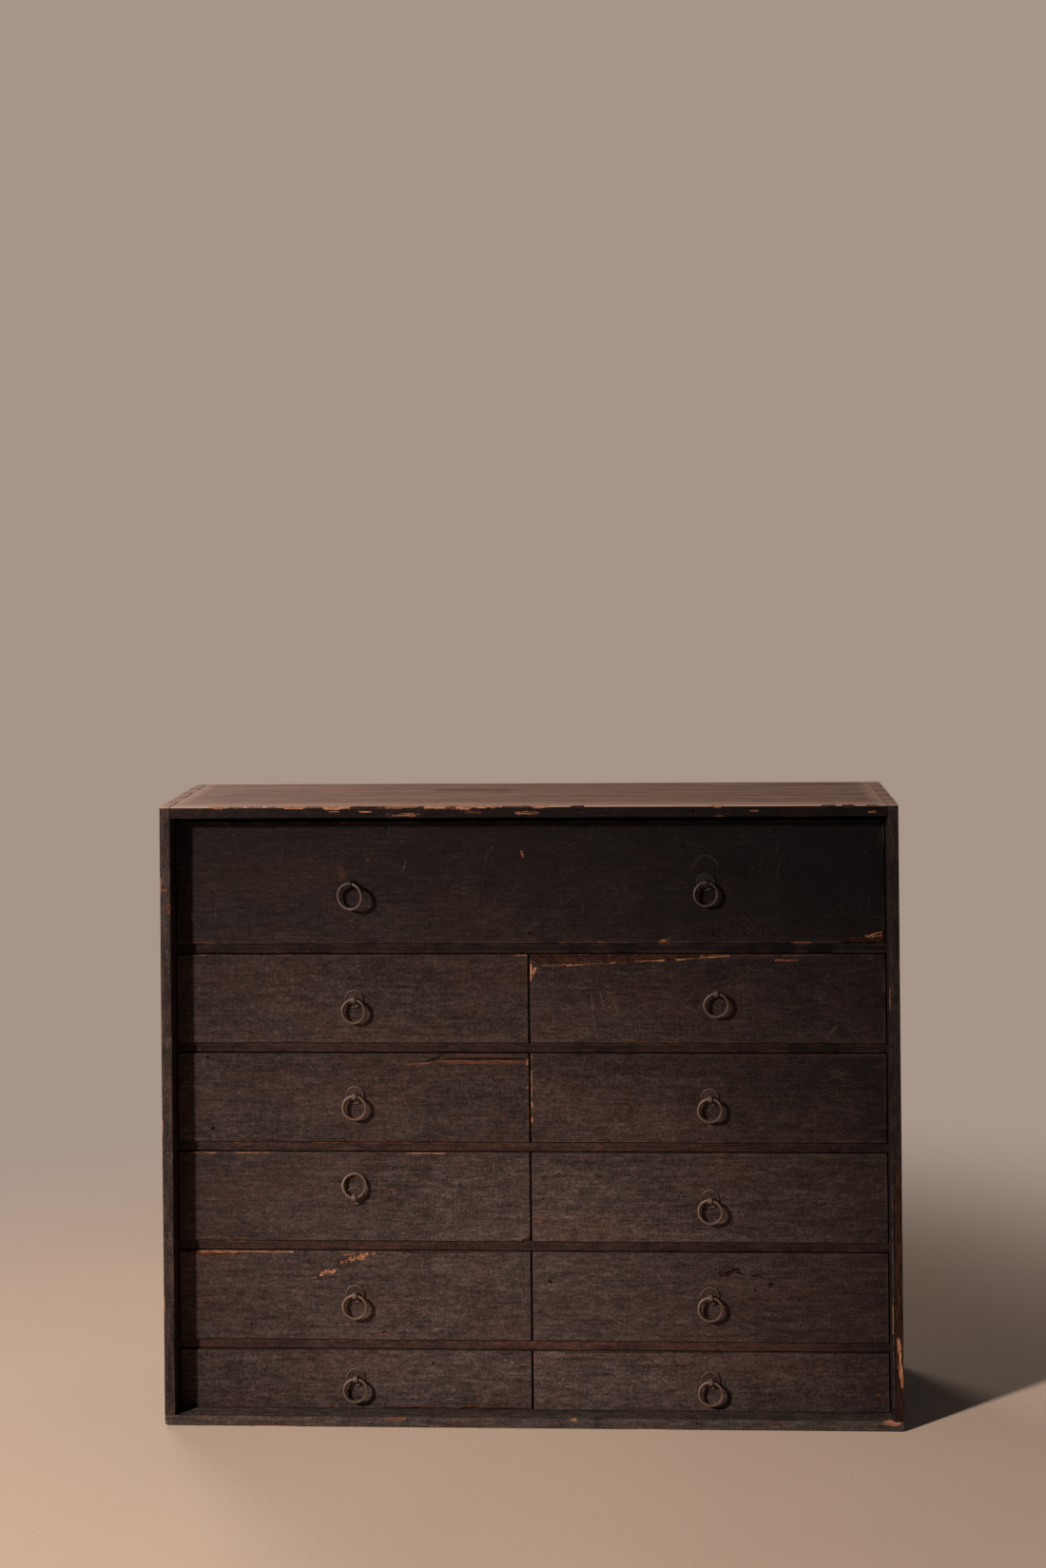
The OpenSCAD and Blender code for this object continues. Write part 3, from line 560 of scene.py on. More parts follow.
def block_mesh(lo, hi, cuts, step, graded=(True, True, True), fine=None):
    """Points and outward quads of a block with square cuts, on lines set closer near its edges."""
    fine = fine or {}
    axes = [grid_lines(lo, hi, cuts, fine.get(a, ()), a, step[a], graded[a]) for a in range(3)]
    middle = [(v[1:] + v[:-1]) / 2 for v in axes]
    solid = np.ones([len(m) for m in middle], bool)
    for low, high in cuts:
        inside = [(m > low[a]) & (m < high[a]) for a, m in enumerate(middle)]
        solid &= ~(inside[0][:, None, None] & inside[1][None, :, None] & inside[2][None, None, :])
    shape = np.array([len(v) for v in axes])
    weights = np.array([shape[1] * shape[2], shape[2], 1])
    faces = []
    for a in range(3):
        b, c = (a + 1) % 3, (a + 2) % 3
        empty = np.zeros_like(np.take(solid, [0], axis=a))
        for side in (0, 1):
            rest = np.delete(solid, 0 if side else -1, axis=a)
            beside = np.concatenate([rest, empty] if side else [empty, rest], axis=a)
            cell = np.argwhere(solid & ~beside)
            cell[:, a] += side
            corners = [cell.copy() for _ in range(4)]
            corners[1][:, b] += 1
            corners[2][:, b] += 1
            corners[2][:, c] += 1
            corners[3][:, c] += 1
            quad = np.stack([p @ weights for p in corners], axis=1)
            faces.append(quad if side else quad[:, ::-1])
    faces = np.concatenate(faces)
    used, index = np.unique(faces, return_inverse=True)
    ix = used // weights[0]
    iy = used % weights[0] // weights[1]
    iz = used % weights[1]
    points = np.stack([axes[0][ix], axes[1][iy], axes[2][iz]], axis=1)
    return points, index.reshape(faces.shape)


def chips_of(name):
    """The chips that are listed under a name: each an edge, its middle, half its length, and the rest."""
    return [(*EDGES[edge], (start + end) / 2, (end - start) / 2 + 1.0, *rest)
            for edge, start, end, *rest in rows_of(CHIPS[name])]


def painted_shade_at(points):
    """Painted shade and light on the fronts, rails and pulls, as a share by place: darker toward the top right as
    painted shade, and lighter toward the foot as painted light.
    """
    u, v = points[:, X] / 300, (points[:, Z] - 325) / 300
    return np.exp(0.18 - 0.43 * u - 0.51 * u * u - 1.25 * v - 0.85 * v * v - 0.34 * u * v)


class Board:
    """One board being worn: its points, and what its material is told about each of them."""

    def __init__(self, lo, hi, cuts=(), step=(4.0, 4.0, 4.0), graded=(True, True, True), fine=None, seed=0,
                 tone=(1.0, 1.0), shaded=False, inner_tone=None):
        self.lo, self.hi, self.seed = np.array(lo, float), np.array(hi, float), seed
        self.tone, self.shaded, self.inner_tone = tone, shaded, inner_tone
        self.points, self.faces = block_mesh(lo, hi, list(cuts), step, graded, fine)
        self.rest = self.points.copy()
        self.bare, self.rubbed, self.stain, self.edge, self.deep, self.warm = np.zeros((6, len(self.points)))
        self.woods = np.zeros(len(self.faces))

    def tones(self):
        """The board's tone at its left and right ends and between them, times the painted shade and light by place
        where the board takes that.
        """
        ends = (self.lo[X], self.hi[X]) if self.shaded else (-370.0, 370.0)
        tone = np.interp(self.rest[:, X], ends, self.tone)
        # Away from the front the tone goes to inner_tone, so that painted shade on a side's front edge stays on the
        # front.
        if self.inner_tone is not None:
            inward = smooth(self.rest[:, Y] - self.lo[Y], 5.0, 60.0)
            tone = tone + (self.inner_tone - tone) * inward
        return tone * painted_shade_at(self.rest) if self.shaded else tone

    def depth(self, axis, side):
        """How far the points lie in from one face."""
        return self.rest[:, axis] - self.lo[axis] if side < 0 else self.hi[axis] - self.rest[:, axis]

    def wear(self, radius=0.7, ragged=0.5, chips=(), dirt=1.0):
        """Rounds the outer edges unevenly, and breaks chips out of them.
        A chip is (axis of one face, its side, axis of the other, its side, place along, half length, two depths).
        A ninth number tells how dark and old a break is, from -1, fresh, to 1. A break's depths hold dirt."""
        for a, b in ((X, Y), (Y, Z), (Z, X)):
            c = 3 - a - b
            for sa in (-1, 1):
                for sb in (-1, 1):
                    da, db = self.depth(a, sa), self.depth(b, sb)
                    near = np.nonzero((da < NEAR) & (db < NEAR))[0]
                    if not len(near):
                        continue
                    q = self.rest[near]
                    seed = self.seed + 7 * a + 3 * b + sa + 2 * sb
                    wave = layered(q, (34.0, 34.0, 34.0), seed)
                    fine = noise(q, (4.2, 4.2, 4.2), seed + 5)
                    base = radius * (1 + ragged * (2.6 * (wave - 0.5) + 0.9 * (fine - 0.5)))
                    ra = rb = np.clip(base, SHARPEST, None)
                    power = np.full(len(near), 2.0)
                    broken, dull = np.zeros((2, len(near)))
                    for chip in chips:
                        if chip[:4] == (a, sa, b, sb):
                            place, half, deep_a, deep_b = chip[4:8]
                        elif chip[:4] == (b, sb, a, sa):
                            place, half, deep_b, deep_a = chip[4:8]
                        else:
                            continue
                        dull = np.where(np.abs(q[:, c] - place) < half, (*chip, 0.0)[8], dull)
                        s = np.abs(q[:, c] - place) / half
                        jag = 0.45 + 0.75 * layered(q, (6.0, 6.0, 6.0), seed + int(abs(place)) + 11)
                        profile = np.sqrt(np.clip(1 - s ** 2.6, 0, 1)) * jag
                        ra = ra + deep_a * profile
                        rb = rb + deep_b * profile
                        power = np.where(profile > 0, 1.35, power)
                        shown = min(1.0, 0.45 + 0.4 * max(deep_a, deep_b))
                        broken = np.maximum(broken, shown * np.clip(profile * 1.5, 0, 1))
                    ua = np.clip(1 - da[near] / ra, 0, None)
                    ub = np.clip(1 - db[near] / rb, 0, None)
                    both = (ua > 0) & (ub > 0)
                    reach = np.where(both, (ua ** power + ub ** power) ** (1 / power), 1.0)
                    out = both & (reach > 1)
                    k = near[out]
                    shift_a = ra[out] * (1 - ua[out] / reach[out]) - da[k]
                    shift_b = rb[out] * (1 - ub[out] / reach[out]) - db[k]
                    self.points[k, a] -= sa * shift_a
                    self.points[k, b] -= sb * shift_b
                    self.bare[k] = np.maximum(self.bare[k], broken[out])
                    stronger = np.abs(dull[out]) > np.abs(self.deep[k])
                    self.deep[k[stronger]] = dull[out][stronger]
                    if Y in (a, b):
                        sunk = shift_a / ra[out] if a == Y else shift_b / rb[out]
                        dirty = dirt * smooth(sunk, 0.15, 0.5) * (broken[out] > 0.2)
                        self.deep[k] = np.where(self.deep[k] < 0, self.deep[k], np.maximum(self.deep[k], dirty))
                    rim = np.exp(-np.hypot(da[near], db[near]) / 1.6)
                    self.edge[near] = np.maximum(self.edge[near], rim)
        return self

    def seams(self, case_lo, case_hi):
        """Dark joints between the fingers of two boards that meet at a corner."""
        pitch = (case_hi[Y] - case_lo[Y]) / FINGERS
        along = (self.rest[:, Y] - case_lo[Y]) / pitch
        gap = np.abs(along - np.round(along)) * pitch
        inner = case_hi[X] - SIDE_T
        end = np.abs(self.rest[:, X]) > inner - 0.5
        in_fingers = (self.rest[:, Z] > case_hi[Z] - TOP_T - 0.5) | (self.rest[:, Z] < BOTTOM_T + 0.5)
        across = np.exp(-(gap / 0.7) ** 2) * end * in_fingers
        across[np.round(along) < 1] = 0
        across[np.round(along) > FINGERS - 1] = 0
        beside = np.exp(-((np.abs(self.rest[:, X]) - inner) / 0.6) ** 2)
        corner = (self.rest[:, Z] > case_hi[Z] - 0.6) | (self.rest[:, Z] < 0.6)
        self.stain = np.maximum(self.stain, np.maximum(0.85 * across, 0.5 * beside * corner))
        return self

    def ripple(self, amount=0.12, size=(160.0, 40.0, 22.0)):
        """Faces sink a little and unevenly, as planed and worn boards do."""
        for axis in range(3):
            for side in (-1, 1):
                on = np.nonzero(self.depth(axis, side) < 0.01)[0]
                sink = 0.02 + amount * layered(self.rest[on], size, self.seed + 50 + axis * 2 + side)
                self.points[on, axis] -= side * sink
        return self

    def around(self, axis, side, centre):
        """The points on a face, their places, and their distances from a centre along the face's two axes."""
        on = np.nonzero(self.depth(axis, side) < ON_FACE)[0]
        q = self.rest[on]
        u, v = (q[:, k] - middle for k, middle in zip((k for k in range(3) if k != axis), centre))
        return on, q, u, v

    def mark(self, kind, on, amount):
        value = getattr(self, kind)
        value[on] = np.maximum(value[on], amount)

    def gouge(self, axis, side, centre, half, depth, angle=0.0, kind="bare", soft=0.5, strength=1.0, dull=0.0,
              grit=3.0):
        """Sinks and marks a ragged patch on a face. Centre and half sizes run along the face's two axes."""
        on, q, u, v = self.around(axis, side, centre)
        ca, sa = math.cos(angle), math.sin(angle)
        u, v = (ca * u + sa * v) / half[0], (ca * v - sa * u) / half[1]
        rough = layered(q, (grit, grit, grit), self.seed + int(abs(centre[0]) * 3) + 29)
        power = 5 if max(half) > 8 * min(half) else 2
        inside = 1 - (np.abs(u) ** power + np.abs(v) ** power) ** (1 / power) + soft * 1.6 * (rough - 0.5)
        amount = smooth(inside, 0.0, 0.35)
        self.points[on, axis] -= side * depth * amount * (0.55 + 0.9 * rough)
        self.mark(kind, on, strength * amount)
        told = on[(amount > 0.03) & (abs(dull) > np.abs(self.deep[on]))]
        self.deep[told] = dull
        return self

    def marked(self, name):
        """Sinks the marks that are listed under a name into the front face."""
        for kind, x, z, half_x, half_z, depth, angle, *rest in rows_of(GOUGES[name]):
            self.gouge(*FRONT, (x, z), (half_x, half_z), depth, angle, kind, *rest)
        return self

    def arc(self, axis, side, centre, radius, width, strength, span):
        """A faint line along part of a circle on a face, such as a ring rubs."""
        on, q, u, v = self.around(axis, side, centre)
        angle = np.degrees(np.arctan2(v, u)) % 360
        within = smooth(angle, span[0] - 8, span[0] + 8) * smooth(-angle, -span[1] - 8, -span[1] + 8)
        line = np.exp(-((np.hypot(u, v) - radius) / width) ** 2) * within
        line *= 0.45 + 0.8 * noise(q, (5.0, 5.0, 5.0), self.seed + 77)
        self.mark("rubbed", on, strength * line)
        return self


def make_piece(name, boards, materials, body, stands_for):
    """One object made of boards, each a closed shell of its own, with the material that each face of it names."""
    def joined(part):
        return np.concatenate([getattr(b, part) for b in boards])

    offsets = np.cumsum([0] + [len(b.points) for b in boards])
    mesh = mesh_from(name, joined("points") * MM, np.concatenate([b.faces + o for b, o in zip(boards, offsets)]))
    set_values(mesh, "board", np.concatenate([np.full(len(b.points), b.seed * GOLDEN % 1.0) for b in boards]))
    for part in ("edge", "deep", "warm"):
        set_values(mesh, part, joined(part))
    # The alpha of marks is each board's tone, with its painted shade and light.
    tones = np.concatenate([b.tones() for b in boards])
    marks = np.stack([joined("bare"), joined("rubbed"), joined("stain"), tones], axis=1)
    colour = mesh.color_attributes.new("marks", "FLOAT_COLOR", "POINT")
    colour.data.foreach_set("color", marks.astype(np.float32).ravel())
    mesh.polygons.foreach_set("material_index", joined("woods").astype(np.int32))
    place_piece(name, mesh, materials, body, stands_for, sharp=38.0)


def mesh_from(name, points, faces):
    mesh = bpy.data.meshes.new(name)
    faces = np.asarray(faces)
    size = faces.shape[1]
    mesh.vertices.add(len(points))
    mesh.vertices.foreach_set("co", np.asarray(points, np.float32).ravel())
    mesh.loops.add(faces.size)
    mesh.loops.foreach_set("vertex_index", faces.astype(np.int32).ravel())
    mesh.polygons.add(len(faces))
    mesh.polygons.foreach_set("loop_start", np.arange(0, faces.size, size, dtype=np.int32))
    mesh.update(calc_edges=True)
    mesh.validate()
    return mesh


def set_values(mesh, name, values):
    """Tells the material a number at each point."""
    attribute = mesh.attributes.new(name, "FLOAT", "POINT")
    attribute.data.foreach_set("value", np.asarray(values, np.float32))


def place_piece(name, mesh, materials, body, stands_for, sharp):
    """Puts a mesh in the scene as a piece that moves with a body and stands for one CAD node."""
    mesh.shade_smooth()
    mesh.set_sharp_from_angle(angle=math.radians(sharp))
    for material in materials:
        mesh.materials.append(material)
    piece = bpy.data.objects.new(name, mesh)
    bpy.context.scene.collection.objects.link(piece)
    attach(piece, body)
    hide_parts(stands_for)


# ---------------------------------------------------------------- case

def finger_spans(lo, hi):
    """Each finger of a corner, from front to back: its number, and where its cell starts and ends."""
    depth = (hi[Y] - lo[Y]) / FINGERS
    for i in range(FINGERS):
        start = lo[Y] + i * depth - (PAST if i == 0 else SEAM)
        yield i, start, lo[Y] + (i + 1) * depth + (PAST if i == FINGERS - 1 else SEAM)


def finger_cuts(first, lo, hi, low, high):
    """The corner cells of every second finger at both ends, between two heights."""
    inner = hi[X] - SIDE_T - SEAM
    return [cut for i, start, end in finger_spans(lo, hi) if i % 2 == first for cut in (
        ((inner, start, low), (hi[X] + PAST, end, high)), ((lo[X] - PAST, start, low), (-inner, end, high)))]


def case_boards(wood):
    """The top, the bottom and the two sides, with their fingers, rebates and housings."""
    lo, hi = box_of("case_bottom")[0], box_of("case_top")[1]
    inner, back = hi[X] - SIDE_T, hi[Y] - BACK_T
    rebate = ((-inner - BACK_REBATE, back, BOTTOM_T - BACK_REBATE),
              (inner + BACK_REBATE, hi[Y] + PAST, hi[Z] - TOP_T + BACK_REBATE))
    # The top's tone runs from 0.29 at its left end to 0.062 at its right: painted shade, darker to the right.
    top = Board((lo[X], lo[Y], hi[Z] - TOP_T), hi, finger_cuts(0, lo, hi, hi[Z] - 60, hi[Z] + PAST) + [rebate],
                step=(1.7, 6.0, 3.0), seed=3, tone=(0.29, 0.062))
    top.wear(0.9, 0.7, chips_of("case_top"), dirt=0.0).ripple(0.22, (220.0, 34.0, 22.0)).seams(lo, hi)
    top.marked("case_top")
    top.gouge(Z, 1, (315.0, 88.0), (5.0, 3.0), 0.7, kind="stain", soft=0.5)
    top.gouge(Z, 1, (-64.0, 40.0), (46.0, 1.3), 0.3, kind="stain", soft=0.6, grit=8.0)
    make_piece("top_board", [top], [wood["top"]], "case", "case_top")

    tongue = ((-PARTITION_T / 2, PARTITION_FRONT, BOTTOM_T - TONGUE), (PARTITION_T / 2, back, BOTTOM_T + PAST))
    low_rebate = (rebate[0], (inner + BACK_REBATE, hi[Y] + PAST, BOTTOM_T + PAST))
    # The bottom's tone runs from 1.55 at its left end to 1.25 at its right: painted light, like that on the fronts
    # near the foot.
    bottom = Board(lo, (hi[X], hi[Y], BOTTOM_T), finger_cuts(1, lo, hi, -PAST, 60) + [low_rebate, tongue],
                   step=(3.0, 6.0, 3.0), seed=5, tone=(1.55, 1.25))
    bottom.wear(1.2, 0.6, chips_of("case_bottom")).ripple(0.2, (180.0, 34.0, 22.0)).seams(lo, hi)
    make_piece("bottom_board", [bottom.marked("case_bottom")], [wood["bottom"]], "case", "case_bottom")

    cuts = [rebate]
    for i, start, end in finger_spans(lo, hi):
        low, high = (hi[Z] - TOP_T - SEAM, hi[Z] + PAST) if i % 2 else (-PAST, BOTTOM_T + SEAM)
        cuts.append(((-FAR, start, low), (FAR, end, high)))
    for row in RAILS:
        rail_lo, rail_hi = box_of(f"rail_{row}")
        for front, rear, low in ((rail_lo[Y], rail_hi[Y], rail_lo[Z]), (SHELF_FRONT, back, rail_hi[Z] - SHELF_T)):
            cuts.append(((-inner - HOUSING, front, low), (inner + HOUSING, rear, rail_hi[Z])))
    for side, name in ((-1, "side_left"), (1, "side_right")):
        low = (inner, lo[Y], lo[Z]) if side > 0 else lo
        high = hi if side > 0 else (-inner, hi[Y], hi[Z])
        # The sides' tone runs from 1.0 at the left to 0.38 at the right, painted shade that darkens the right side's
        # front edge; inside, inner_tone takes it to 0.9.
        board = Board(low, high, cuts, step=(4.0, 5.0, 2.2), seed=7 + side, tone=(1.0, 0.38), inner_tone=0.9)
        board.wear(1.0, 0.65, chips_of(name)).ripple(0.22, (34.0, 34.0, 200.0)).seams(lo, hi)
        make_piece(f"board_{name}", [board.marked(name)], [wood["side"]], "case", name)


def back_boards(wood):
    """Three boards that lap each other by half their thickness, with a seam under each lap."""
    lo, hi = box_of("back_boards")
    middle = (lo[Y] + hi[Y]) / 2
    height = (hi[Z] - lo[Z]) / 3
    lap, seam = 3.0, 0.6
    boards = []
    for i in range(3):
        low, high = lo[Z] + i * height, lo[Z] + (i + 1) * height
        under = lap if i else 0.0
        over, gap = (lap, seam) if i < 2 else (0.0, 0.0)
        cuts, left, right = [], lo[X] - PAST, hi[X] + PAST
        if under:
            cuts.append(((left, middle - GLUE / 2, low - FAR), (right, hi[Y] + PAST, low + under)))
        if over:
            cuts.append(((left, lo[Y] - PAST, high - over - gap), (right, middle + GLUE / 2, high + FAR)))
        board = Board((lo[X], lo[Y], low - under), (hi[X], hi[Y], high + over - gap), cuts,
                      step=(6.0, 4.0, 4.0), graded=(True, False, True), seed=21 + i)
        boards.append(board.wear(0.5, 0.6).ripple(0.3, (260.0, 34.0, 26.0)))
    make_piece("back_panel", boards, [wood["plain"]], "case", "back_boards")


# The tone of each rail at its left and right ends, partly its own and partly painted shade that darkens it toward the
# right, and its nicks: place along, half length
RAIL_TONES_AND_SHADE = ((0.57, 0.13), (0.60, 0.50), (0.66, 0.62), (0.56, 0.54), (0.78, 0.74))
RAIL_NICKS = ((), ((-126.6, 1.5),), ((-168.0, 66.0), (-295.0, 9.0), (40.0, 6.0)), ((-129.4, 1.5), (-300.0, 14.0)),
              ((-180.0, 30.0), (-90.0, 8.0)))


def rails_and_shelves(wood):
    """A rail under each row but the lowest, the shelf behind it, and the partition under that."""
    shelf_lo, shelf_hi = box_of("shelf_boards")
    part_lo, part_hi = box_of("partitions")
    floors, shelves, parts = [], [], []
    half = PARTITION_T / 2
    for row, tone, nicks in zip(RAILS, RAIL_TONES_AND_SHADE, RAIL_NICKS):
        lo, hi = box_of(f"rail_{row}")
        floors.append(hi[Z])
        step = ((lo[X] - PAST, SHELF_FRONT, hi[Z] - SHELF_T), (hi[X] + PAST, hi[Y] + PAST, hi[Z] + PAST))
        chips = [(*EDGES["top"], x, length, 0.9, 1.3, 0.25) for x, length in nicks]
        chips += [(*EDGES["low"], x + 31.0, length * 0.6, 0.5, 0.6) for x, length in nicks]
        # The rail also takes the painted shade and light by place.
        rail = Board(lo, hi, [step], step=(2.6, 5.0, 3.0), seed=31 + row, tone=tone, shaded=True)
        rail.wear(0.6, 0.6, chips).ripple(0.2, (120.0, 20.0, 12.0))
        make_piece(f"rail_board_{row}", [rail], [wood["rail"]], "case", f"rail_{row}")
    for row, top in zip(RAILS, floors):
        under = top - SHELF_T
        cuts = [((-half, PARTITION_FRONT, under - PAST), (half, FAR, under + TONGUE))]
        if row > 1:
            cuts.append(((-half, PARTITION_FRONT, top - TONGUE), (half, FAR, top + PAST)))
        shelf = Board((shelf_lo[X], shelf_lo[Y], under), (shelf_hi[X], shelf_hi[Y], top), cuts,
                      step=(14.0, 14.0, 6.0), graded=(False, False, False), seed=41 + row)
        shelves.append(shelf.wear(0.3, 0.3).ripple(0.08, (200.0, 60.0, 20.0)))
        low, high = floors[row] if row < 5 else BOTTOM_T, under + TONGUE
        cuts = [((-FAR, -FAR, low - FAR), (FAR, PARTITION_FRONT, low)),
                ((-FAR, -FAR, top - RAIL_T), (FAR, PARTITION_FRONT, high + PAST))]
        part = Board((part_lo[X], part_lo[Y], low - TONGUE), (part_hi[X], part_hi[Y], high), cuts,
                     step=(4.0, 8.0, 8.0), graded=(True, False, False), seed=48 + row)
        parts.append(part.wear(0.35, 0.3).ripple(0.08, (30.0, 90.0, 30.0)))
    make_piece("shelf_set", shelves, [wood["plain"]], "case", "shelf_boards")
    make_piece("partition_set", parts, [wood["plain_deep"]], "case", "partitions")


# ---------------------------------------------------------------- drawers

# The tone of each front at its left and right ends: partly each board's own and partly painted shade and light, on top
# of the painted shade and light by place
FRONT_TONES_AND_SHADE = {"drawer_1": (1.05, 0.74), "drawer_2_left": (1.08, 1.16), "drawer_2_right": (1.28, 1.45),
               "drawer_3_left": (0.93, 0.78), "drawer_3_right": (1.02, 0.82), "drawer_4_left": (0.72, 1.08),
               "drawer_4_right": (1.2, 1.1), "drawer_5_left": (0.9, 0.9), "drawer_5_right": (0.98, 0.88),
               "drawer_6_left": (1.03, 1.0), "drawer_6_right": (1.22, 1.03)}

# Faint arcs that the turned-up rings have rubbed: drawer, left or right pull, radius, height of the arc's centre
ARCS = {("drawer_1", 1): (12.5, 14.0), ("drawer_2_left", -1): (12.0, 12.5), ("drawer_3_left", -1): (13.0, 8.0),
        ("drawer_3_right", 1): (12.5, 11.0), ("drawer_4_left", -1): (12.2, 8.0), ("drawer_4_right", 1): (12.0, 10.0),
        ("drawer_5_right", 1): (12.5, 12.0), ("drawer_6_right", 1): (12.0, 12.0)}


def pulls_of(drawer):
    """The pulls on a drawer: hand, ring, and the middle of its eye, from the ring's own joint."""
    return sorted((-1 if j["child"].endswith("left") else 1, j["child"], [v / MM for v in j["pos_m"]])
                  for j in frame["joints"] if j["parent"] == drawer and j["child"].startswith("ring_"))


def drawer_front(name, wood, number):
    """A front with its sockets for the box behind, and the wear that is listed for it."""
    lo, hi = box_of(f"{name}_front")
    box_lo, box_hi = box_of(f"{name}_box")
    socket = hi[Y] - FRONT_REBATE
    left_end = lo[X] - PAST if box_lo[X] - lo[X] < 1 else box_lo[X]
    right_end = hi[X] + PAST if hi[X] - box_hi[X] < 1 else box_hi[X]
    cuts = [((x0, socket, lo[Z] - PAST), (x1, FAR, z1)) for x0, x1, z1 in (
        (left_end, right_end, lo[Z] + BOX_BOTTOM_T), (left_end, box_lo[X] + BOX_SIDE_T, box_hi[Z]),
        (box_hi[X] - BOX_SIDE_T, right_end, box_hi[Z]))]
    # Lines set closer where the marks and the ring are
    fine_x, fine_z = [], []
    for _, x, z, half_x, half_z, *_ in rows_of(GOUGES[name]):
        if half_x < 30:
            fine_x.append((x - half_x - 1.5, x + half_x + 1.5, 0.5 if half_x < 1 else 0.9 if half_x < 12 else 1.3))
        if half_z < 14:
            fine_z.append((z - half_z - 1.5, z + half_z + 1.5, 0.9))
    for _, _, at in pulls_of(name):
        fine_x.append((at[X] - 15, at[X] + 15, 1.2))
        fine_z.append((at[Z] - 4, at[Z] + 27, 1.3))
    # The front takes its tone and the painted shade and light by place.
    board = Board(lo, hi, cuts, step=(2.4, 5.0, 3.0), fine={X: fine_x, Z: fine_z}, seed=60 + number,
                  tone=FRONT_TONES_AND_SHADE[name], shaded=True)
    board.wear(0.75, 0.6, chips_of(name)).marked(name)
    for hand, _, at in pulls_of(name):
        if (name, hand) in ARCS:
            radius, rise = ARCS[name, hand]
            board.arc(*FRONT, (at[X], at[Z] + rise), radius, 0.9, 0.5, (5.0, 175.0))
    board.ripple(0.25, (170.0, 30.0, 24.0))
    board.woods = (board.rest[board.faces][:, :, Y].min(axis=1) > hi[Y] - 0.05) * 1
    make_piece(f"{name}_panel", [board], [wood["front"], wood["across"]], name, f"{name}_front")


def drawer_box(name, wood, number):
    """Two sides with a finger of the back through each, and the bottom nailed on below."""
    lo, hi = box_of(f"{name}_box")
    floor = lo[Z] + BOX_BOTTOM_T + GLUE
    top = box_of(f"{name}_front")[1][Z] - 3.0
    third = (top - floor) / 3
    finger = ((lo[X] - PAST, hi[Y] - BOX_BACK_T - GLUE, floor + third - GLUE),
              (hi[X] + PAST, hi[Y] + PAST, floor + 2 * third + GLUE))
    seed = 80 + number * 4
    boards = []
    for k, x in enumerate((lo[X], hi[X] - BOX_SIDE_T)):
        side = Board((x, lo[Y], floor), (x + BOX_SIDE_T, hi[Y], hi[Z]), [finger], step=(4.0, 6.0, 6.0),
                     graded=(True, False, True), seed=seed + k)
        boards.append(side.wear(0.5, 0.5).ripple(0.15, (30.0, 90.0, 30.0)))
    between = BOX_SIDE_T + GLUE
    back_cuts = [((low, lo[Y], under), (high, FAR, over))
                 for low, high in ((lo[X] - PAST, lo[X] + between), (hi[X] - between, hi[X] + PAST))
                 for under, over in ((floor - PAST, floor + third), (floor + 2 * third, top + PAST))]
    back = Board((lo[X], hi[Y] - BOX_BACK_T, floor), (hi[X], hi[Y], top), back_cuts, step=(8.0, 4.0, 6.0),
                 graded=(False, True, True), seed=seed + 2)
    bottom = Board(lo, (hi[X], hi[Y], lo[Z] + BOX_BOTTOM_T), step=(8.0, 8.0, 4.0), graded=(False, False, False),
                   seed=seed + 3)
    boards += [back.wear(0.45, 0.5).ripple(0.15, (90.0, 30.0, 30.0)),
               bottom.wear(0.4, 0.4).ripple(0.15, (120.0, 40.0, 30.0))]
    back.woods += 1
    bottom.woods += 1
    make_piece(f"{name}_carcass", boards, [wood["plain_deep"], wood["across"]], name, f"{name}_box")


# ---------------------------------------------------------------- pulls

def swept(count, size, closed):
    """Quads between so many rows of points, each row a ring of the same size."""
    faces = []
    for i in range(count if closed else count - 1):
        j = (i + 1) % count
        for k in range(size):
            m = (k + 1) % size
            faces.append((i * size + k, j * size + k, j * size + m, i * size + m))
    return faces


# How far some rings hang turned in their eyes, in degrees
YAWS = {"ring_2_left": 6.0, "ring_2_right": 4.0, "ring_3_left": 3.0, "ring_3_right": 5.0, "ring_4_right": 9.0,
        "ring_5_left": 6.0, "ring_6_left": 5.0, "ring_6_right": 3.0}
# How light some rings are, with what holds them
PULL_TONES = {"ring_1_left": 0.8, "ring_1_right": 0.55}
# How orange some rings are
RUST = {"ring_1_left": 0.1, "ring_1_right": 0.7, "ring_2_right": 0.45, "ring_3_left": 0.5, "ring_3_right": 0.4,
        "ring_5_left": 0.55, "ring_6_right": 0.95}
WIRE = 1.75  # half the thickness of a ring's iron


